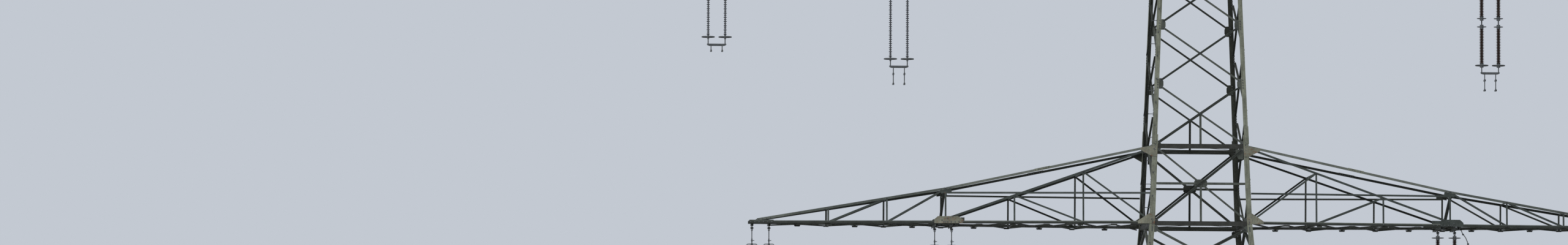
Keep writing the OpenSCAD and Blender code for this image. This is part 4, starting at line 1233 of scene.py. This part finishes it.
class PYLON_OT_gussets(bpy.types.Operator):
    """Adds the plates that join the crossarms to the legs, and the covers over the chords' splices"""

    bl_idname = "pylon.gussets"
    bl_label = "Root plates and chord splices"

    def execute(self, context):
        for side, name, coat in ((-1, "left", "Plate coat"), (1, "right", "Fine bracing coat")):
            feet = Shape()
            for truss in (t for t in TRUSSES if t.side == side):
                self.add_foot_cover(feet, truss)
            feet.finish(f"{name}_foot_covers", coat, "lattice_steel")
        roots, splices, bays = Shape(), Shape(), Shape()
        for truss in TRUSSES:
            self.add_root_plates(roots, truss)
            self.add_splice_cover(splices, truss)
        for k in (0, 2):
            for n in ARM_BAYS:
                self.add_bay_plates(bays, k, n)
        roots.finish("root_plates", "Plate coat", "lattice_steel")
        bays.finish("bay_plates", "Weathered bracing coat", "bracing_steel")
        splices.finish("chord_splices", "Weathered leg coat", "lattice_steel")
        return {"FINISHED"}

    def add_root_plates(self, shape, truss):
        """Bent plates over a leg and the ends of an arm's chords: one half on each."""
        level = truss.level
        face_normal = Vector((0, truss.front, UPPER_LEAN)).normalized()
        high = level.root_high
        for bottom, top in ((-CHORD_DROP, ROOT_PLATE_HIGH), (high - ROOT_PLATE_HIGH - ROOT_PLATE_DROP, high)):
            # The leg's outer corner draws in towards the axis as it rises
            corner_low, corner_high = level.half - UPPER_LEAN * bottom, level.half - UPPER_LEAN * top
            far = corner_low + ROOT_PLATE_LONG
            trimmed = top - ROOT_PLATE_EDGE
            if top == high:
                edge = [(corner_low, bottom), (corner_high, trimmed),
                        (far, level.top_rise(far) - ROOT_PLATE_EDGE), (far, level.top_rise(far) - TOP_WIDE)]
            else:
                edge = [(corner_low, bottom), (far, bottom), (far, CHORD_WIDE - CHORD_DROP),
                        (corner_high, top)]
            shape.plate(truss.outside(edge), truss.normal, ROOT_PLATE_THICK)
            on_leg = [(corner_low - LEG_COVER, bottom), (corner_low, bottom), (corner_high, trimmed),
                      (corner_high - LEG_COVER, trimmed)]
            on_leg = [Vector((truss.side * x, truss.front * (level.half - UPPER_LEAN * z), level.foot + z))
                      + face_normal * SEAT for x, z in on_leg]
            shape.plate(on_leg, face_normal, ROOT_PLATE_THICK)

    def add_foot_cover(self, shape, truss):
        """A plate outside a bottom chord at the inner strings, with its upper corners cut."""
        back, ahead = FOOT_COVERS[truss.side]
        near, far = truss.level.inner - back, truss.level.inner + ahead
        edge = [(near, COVER_LOW), (far, COVER_LOW), (far, COVER_SHOULDER), (far - COVER_CUTS[1], COVER_HIGH),
                (near + COVER_CUTS[0], COVER_HIGH), (near, COVER_SHOULDER)]
        shape.plate(truss.outside(edge), truss.normal, ARM_THICK)

    def add_bay_plates(self, shape, k, n):
        """Plates inside bay n of a front face: where its bars cross and at its heavy diagonal's head."""
        place = face_place(k, UPPER_LEAN)
        normal = place.to_3x3() @ -UP
        low, high = body_levels()[0][n:n + 2]
        middle = crossing(low, high, upper_half)
        wide, rise, cut = BAY_PLATE
        cross = [(-wide, -rise + cut), (-wide + cut, -rise), (wide - cut, -rise), (wide, -rise + cut),
                 (wide, rise - cut), (wide - cut, rise), (-wide + cut, rise), (-wide, rise - cut)]
        cross = [(u, middle + v) for u, v in cross]
        edge, under = upper_half(high) - LEG_WIDE - HEAD_GAP, high - HEAD_DROP
        head = [(edge, under), (edge - HEAD_PLATE, under), (edge - HEAD_PLATE, under - HEAD_SHORT),
                (edge - HEAD_FOOT, under - HEAD_LONG), (edge, under - HEAD_LONG)]
        depth = -LEG_THICK - SEAT - BRACE_THICK - SEAT
        for outline in (cross, head):
            shape.plate([place @ Vector((u, v, depth)) for u, v in outline], normal, ROOT_PLATE_THICK)

    def add_splice_cover(self, shape, truss):
        """A cover angle outside a top chord, over the joint between its lengths."""
        level, normal = truss.level, truss.normal
        ends = (level.splice - SPLICE_COVER_HALF, level.splice + SPLICE_COVER_HALF)
        start, end = truss.outside([(x, level.top_rise(x)) for x in ends])
        up = (end - start).cross(normal)
        up = up if up.z > 0 else -up
        up.normalize()
        shape.plate([start, end, end - up * TOP_WIDE, start - up * TOP_WIDE], normal, ARM_THICK)
        roof = [start + up * SEAT, end + up * SEAT]
        roof += [roof[1] - normal * TOP_WIDE, roof[0] - normal * TOP_WIDE]
        shape.plate(roof, up, ARM_THICK)


# Light bars: width, thickness, and how far the ties stop inside the chords' lines
FINE_WIDE = 0.025
FINE_THICK = 0.004
TIE_IN = 0.016
# How far up the inside chord's flange the ties sit
TIE_SHARE = 0.35
# Light bars under a crossarm: their width, the room they leave at a channel that strings hang from, and
# the shortest piece that is made
FLOOR_WIDE = 0.022
CHANNEL_ROOM = 0.03
FLOOR_SHORTEST = 0.02
# Plates where the bars meet a chord: half length, depth, and how far their corners are cut
FLOOR_PLATE = (0.055, 0.027, 0.012)
# How far the upright flanges of the zigzag stop inside the chords' lines
FLANGE_IN = 0.075
# The diagonal across a crossarm at the inner strings: its half width, end gap and added flange, and how
# far that flange stops from its head and its foot
FRAME_HALF = 0.017
FRAME_IN = 0.016
FRAME_FLANGE = 0.042
FRAME_STOPS = (0.06, 0.07)


class PYLON_OT_fine_bracing(bpy.types.Operator):
    """Adds the light bars that tie the two trusses of each crossarm together"""

    bl_idname = "pylon.fine_bracing"
    bl_label = "Light bracing of the crossarms"

    def execute(self, context):
        ties, floors = Shape(), Shape()
        for arm in ARMS:
            level, side = arm[0].level, arm[0].side
            for x in level.inner_posts[1:-1]:
                self.add_tie(ties, arm, x, level.low_rise(x) + TOP_WIDE * TIE_SHARE)
            for x in level.outer_posts[1:-1]:
                self.add_tie(ties, arm, x, level.top_rise(x) - ARM_THICK - 2 * SEAT)
            self.add_floor(floors, level, side)
            self.add_frame_flange(floors, level, side)
        ties.finish("crossarm_ties", "Fine bracing coat", "bracing_steel")
        # The bars under the crossarms take the dark coat as painted shade
        floors.finish("crossarm_floors", "Sheltered coat", "bracing_steel")
        return {"FINISHED"}

    def add_tie(self, shape, arm, x, rise):
        """A light angle from one truss to the other."""
        start, end = (truss.point(x, rise) - truss.normal * TIE_IN for truss in arm)
        flat = (end - start).normalized().cross(UP)
        shape.angle(start, end, flat, -UP, FINE_WIDE, FINE_THICK)

    def add_floor(self, shape, level, side):
        """Bars that make the zigzag under an arm a row of crosses, and upright flanges on the zigzag."""
        joints = level.floor_joints
        beams = [x + d * TWIN_PITCH / 2 for x in (level.inner, level.outer) for d in SIDES]
        top = level.foot - FLOOR_DROP
        under = top - ARM_THICK - SEAT
        for n, (near, far) in enumerate(zip(joints, joints[1:])):
            front = 1 if n % 2 == 0 else -1
            bar = self.floor_line(level, side, near, far, front, FLOOR_IN, under)
            for start, end in self.clear_of(beams, bar):
                along = (end - start).normalized()
                shape.angle(start, end, along.cross(UP), -UP, FLOOR_WIDE, FINE_THICK)
            if n and all(abs(near - beam) >= FLOOR_PLATE[0] + CHANNEL_ROOM for beam in beams):
                self.add_floor_plates(shape, level, side, near, under)
            flange = self.floor_line(level, side, near, far, -front, FLANGE_IN, top + SEAT)
            for start, end in self.clear_of(beams, flange):
                across = (end - start).cross(UP).normalized()
                corners = [start, end, end + UP * FLOOR_WIDE, start + UP * FLOOR_WIDE]
                shape.plate(corners, across, FINE_THICK)

    def add_floor_plates(self, shape, level, side, x, top):
        """Plates that hang down under the two bottom chords, outside the ends of the crossing bars."""
        half, deep, cut = FLOOR_PLATE
        edge = [(x - half, 0), (x + half, 0), (x + half - cut, -deep), (x - half + cut, -deep)]
        for front in SIDES:
            corners = [Vector((side * u, front * (level.chord_y(u) - FLOOR_IN + SEAT), top + w))
                       for u, w in edge]
            shape.plate(corners, Vector((0, front, 0)), FINE_THICK)

    def floor_line(self, level, side, near, far, front, inset, z):
        """Ends of a bar that crosses from one bottom chord to the other."""
        first, last = front * level.chord_y(near), -front * level.chord_y(far)
        start, end = Vector((side * near, first, z)), Vector((side * far, last, z))
        trim = inset / abs(last - first)
        return start.lerp(end, trim), end.lerp(start, trim)

    def clear_of(self, beams, line):
        """The stretches of a bar that stay clear of the channels across the arm."""
        start, end = line
        first, last = abs(start.x), abs(end.x)
        cuts = [first]
        for beam in beams:
            if first < beam + CHANNEL_ROOM and beam - CHANNEL_ROOM < last:
                cuts += [max(first, beam - CHANNEL_ROOM), min(last, beam + CHANNEL_ROOM)]
        cuts.append(last)
        for low, high in zip(cuts[::2], cuts[1::2]):
            if high - low > FLOOR_SHORTEST:
                yield tuple(start.lerp(end, (at - first) / (last - first)) for at in (low, high))

    def add_frame_flange(self, shape, level, side):
        """The second flange of the diagonal across an arm at its inner strings."""
        x, foot = level.inner, level.foot
        high = level.inner_high - TOP_WIDE
        head = Vector((0, -(level.chord_y(x) - UPPER_LEAN * high - FRAME_IN), foot + high))
        base = Vector((0, level.chord_y(x) - FRAME_IN, foot + FRAME_IN))
        along = (base - head).normalized()
        under = Vector((0, along.z, -along.y))
        start = head + along * FRAME_STOPS[0] + under * FRAME_HALF
        end = base - along * FRAME_STOPS[1] + under * FRAME_HALF
        near = Vector((side * (x + ARM_THICK / 2 + SEAT), 0, 0))
        far = Vector((side * (x + ARM_THICK / 2 + FRAME_FLANGE), 0, 0))
        shape.plate([start + near, end + near, end + far, start + far], -under, FINE_THICK)


# Hinge pin: where its washer starts, where its nut starts and ends, their radii, the locking pin's place,
# its reach down and up, and its radius
PIN_WASHER = 0.0152
PIN_NUT = 0.0172
PIN_NUT_END = 0.0262
WASHER_RADIUS = 0.0125
NUT_RADIUS = 0.0118
LOCK_OUT = 0.0245
LOCK_REACH = (-0.02, 0.017)
LOCK_RADIUS = 0.0016
# The line of an arcing horn, out from the string and up from the hinge pin, its clamp's middle and size,
# and the radii of the horn and of its ball
HORN_PATH = ((0.019, 0.052), (0.09, 0.052), (0.115, 0.044), (0.126, 0.018), (0.134, -0.008),
             (0.152, -0.034), (0.176, -0.06), (0.198, -0.098), (0.216, -0.142), (0.232, -0.19))
HORN_CLAMP = (0.146, 0, -0.026)
CLAMP_SIZE = (0.03, 0.03, 0.026)
HORN_RADIUS = 0.0075
HORN_BALL = 0.019
# The extension link of a composite insulator: its bolt's height and ends, its block, and the short horns
LINK_BOLT = -0.212
LINK_BOLT_ENDS = (-0.018, 0.042)
LINK_BLOCK = (0.022, 0.03, 0.06)
SHORT_HORN = ((0.008, 0.272), (0.045, 0.27), (0.07, 0.272), (0.082, 0.281), (0.085, 0.296))
THIN_ROD = 0.0055
# Heights of the yoke's middle over the lowest point of a set with two and with four conductors, half its
# thickness, and its nuts
YOKE_RISE = (0.118, 0.308)
YOKE_HALF = 0.0072
YOKE_NUT_HIGH = 0.008
YOKE_NUT_RADIUS = 0.0135


class PYLON_OT_string_gear(bpy.types.Operator):
    """Adds arcing horns, nuts and locking pins to the insulator strings"""

    bl_idname = "pylon.string_gear"
    bl_label = "Horns and nuts of the strings"

    def execute(self, context):
        horns = Shape()
        for joint in frame["joints"]:
            name = joint["name"].replace("_swing", "")
            pin = Vector(joint["pos_m"])
            gear = Shape()
            for side in SIDES:
                string = pin + Vector((side * TWIN_PITCH / 2, 0, 0))
                self.add_pin_ends(gear, string)
                if "_left_" in name:
                    self.add_cross_bars(gear, string)
                elif side > 0:
                    self.add_horn(horns, string)
            self.add_yoke_nuts(gear, name, pin)
            gear.finish(f"{name}_gear", "Dull zinc fittings", "galvanized_fittings", body=f"{name}_set")
        horns.finish("arcing_horns", "Dull zinc fittings", "galvanized_fittings")
        return {"FINISHED"}

    def add_pin_ends(self, shape, string):
        """A washer and a nut on both ends of the hinge pin, and the locking pin through it."""
        for way in SIDES:
            across = Vector((way, 0, 0))
            shape.rod(string + across * PIN_WASHER, string + across * PIN_NUT, WASHER_RADIUS, 12)
            shape.rod(string + across * PIN_NUT, string + across * PIN_NUT_END, NUT_RADIUS, 6)
            tip = string + across * LOCK_OUT
            shape.rod(tip + UP * LOCK_REACH[0], tip + UP * LOCK_REACH[1], LOCK_RADIUS, 5)

    def add_horn(self, shape, string):
        """A horn on the channel over a string, which curves out and down past the string's first ring."""
        path = [string + Vector((out, 0, rise)) for out, rise in HORN_PATH]
        shape.bent_rod(path, HORN_RADIUS)
        shape.block(string + Vector(HORN_CLAMP), CLAMP_SIZE)
        shape.ball(path[-1], HORN_BALL)

    def add_cross_bars(self, shape, string):
        """The bolt through the extension link and the short horns over a composite insulator."""
        bolt = string + UP * LINK_BOLT
        left, right = (bolt + Vector((x, 0, 0)) for x in LINK_BOLT_ENDS)
        shape.rod(left, right, THIN_ROD, 8)
        shape.block(bolt, LINK_BLOCK)
        for way in SIDES:
            shape.bent_rod([string + Vector((way * x, 0, -z)) for x, z in SHORT_HORN], THIN_ROD)

    def add_yoke_nuts(self, shape, name, pin):
        """Nuts on both sides of the yoke, where the rods of the two strings pass through it."""
        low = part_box(name + "_fittings")[0]
        quad = "_inner" in name and not name.startswith("upper")
        level = low.z + YOKE_RISE[1 if quad else 0]
        for side in SIDES:
            spot = Vector((pin.x + side * TWIN_PITCH / 2, 0, level))
            for way in SIDES:
                face = spot + Vector((0, way * YOKE_HALF, 0))
                shape.rod(face, face + Vector((0, way * YOKE_NUT_HIGH, 0)), YOKE_NUT_RADIUS, 6)


OPERATORS = (PYLON_OT_stage, PYLON_OT_finishes, PYLON_OT_insulators, PYLON_OT_string_gear,
             PYLON_OT_gussets, PYLON_OT_fine_bracing, PYLON_OT_bolts)
GROUPS = {"pylon_steel": PylonSteel, "pylon_bolts": PylonBolts, "pylon_strings": PylonStrings,
          "pylon_stage": PylonStage}


class PYLON_PT_panel(bpy.types.Panel):
    """Lists the steps that dress the pylon"""

    bl_idname = "PYLON_PT_panel"
    bl_label = "Lattice pylon"
    bl_space_type = "VIEW_3D"
    bl_region_type = "UI"
    bl_category = "Pylon"

    def draw(self, context):
        for operator in OPERATORS:
            self.layout.operator(operator.bl_idname)
        for name, group in GROUPS.items():
            box = self.layout.box()
            for key in group.__annotations__:
                box.prop(getattr(context.scene, name), key)


CLASSES = (*GROUPS.values(), *OPERATORS, PYLON_PT_panel)


def register():
    for kind in CLASSES:
        bpy.utils.register_class(kind)
    for name, group in GROUPS.items():
        setattr(bpy.types.Scene, name, PointerProperty(type=group))


def unregister():
    for name in GROUPS:
        delattr(bpy.types.Scene, name)
    for kind in reversed(CLASSES):
        bpy.utils.unregister_class(kind)


def main():
    register()
    for operator in OPERATORS:
        group, name = operator.bl_idname.split(".")
        getattr(getattr(bpy.ops, group), name)()


if __name__ == "__main__":
    main()
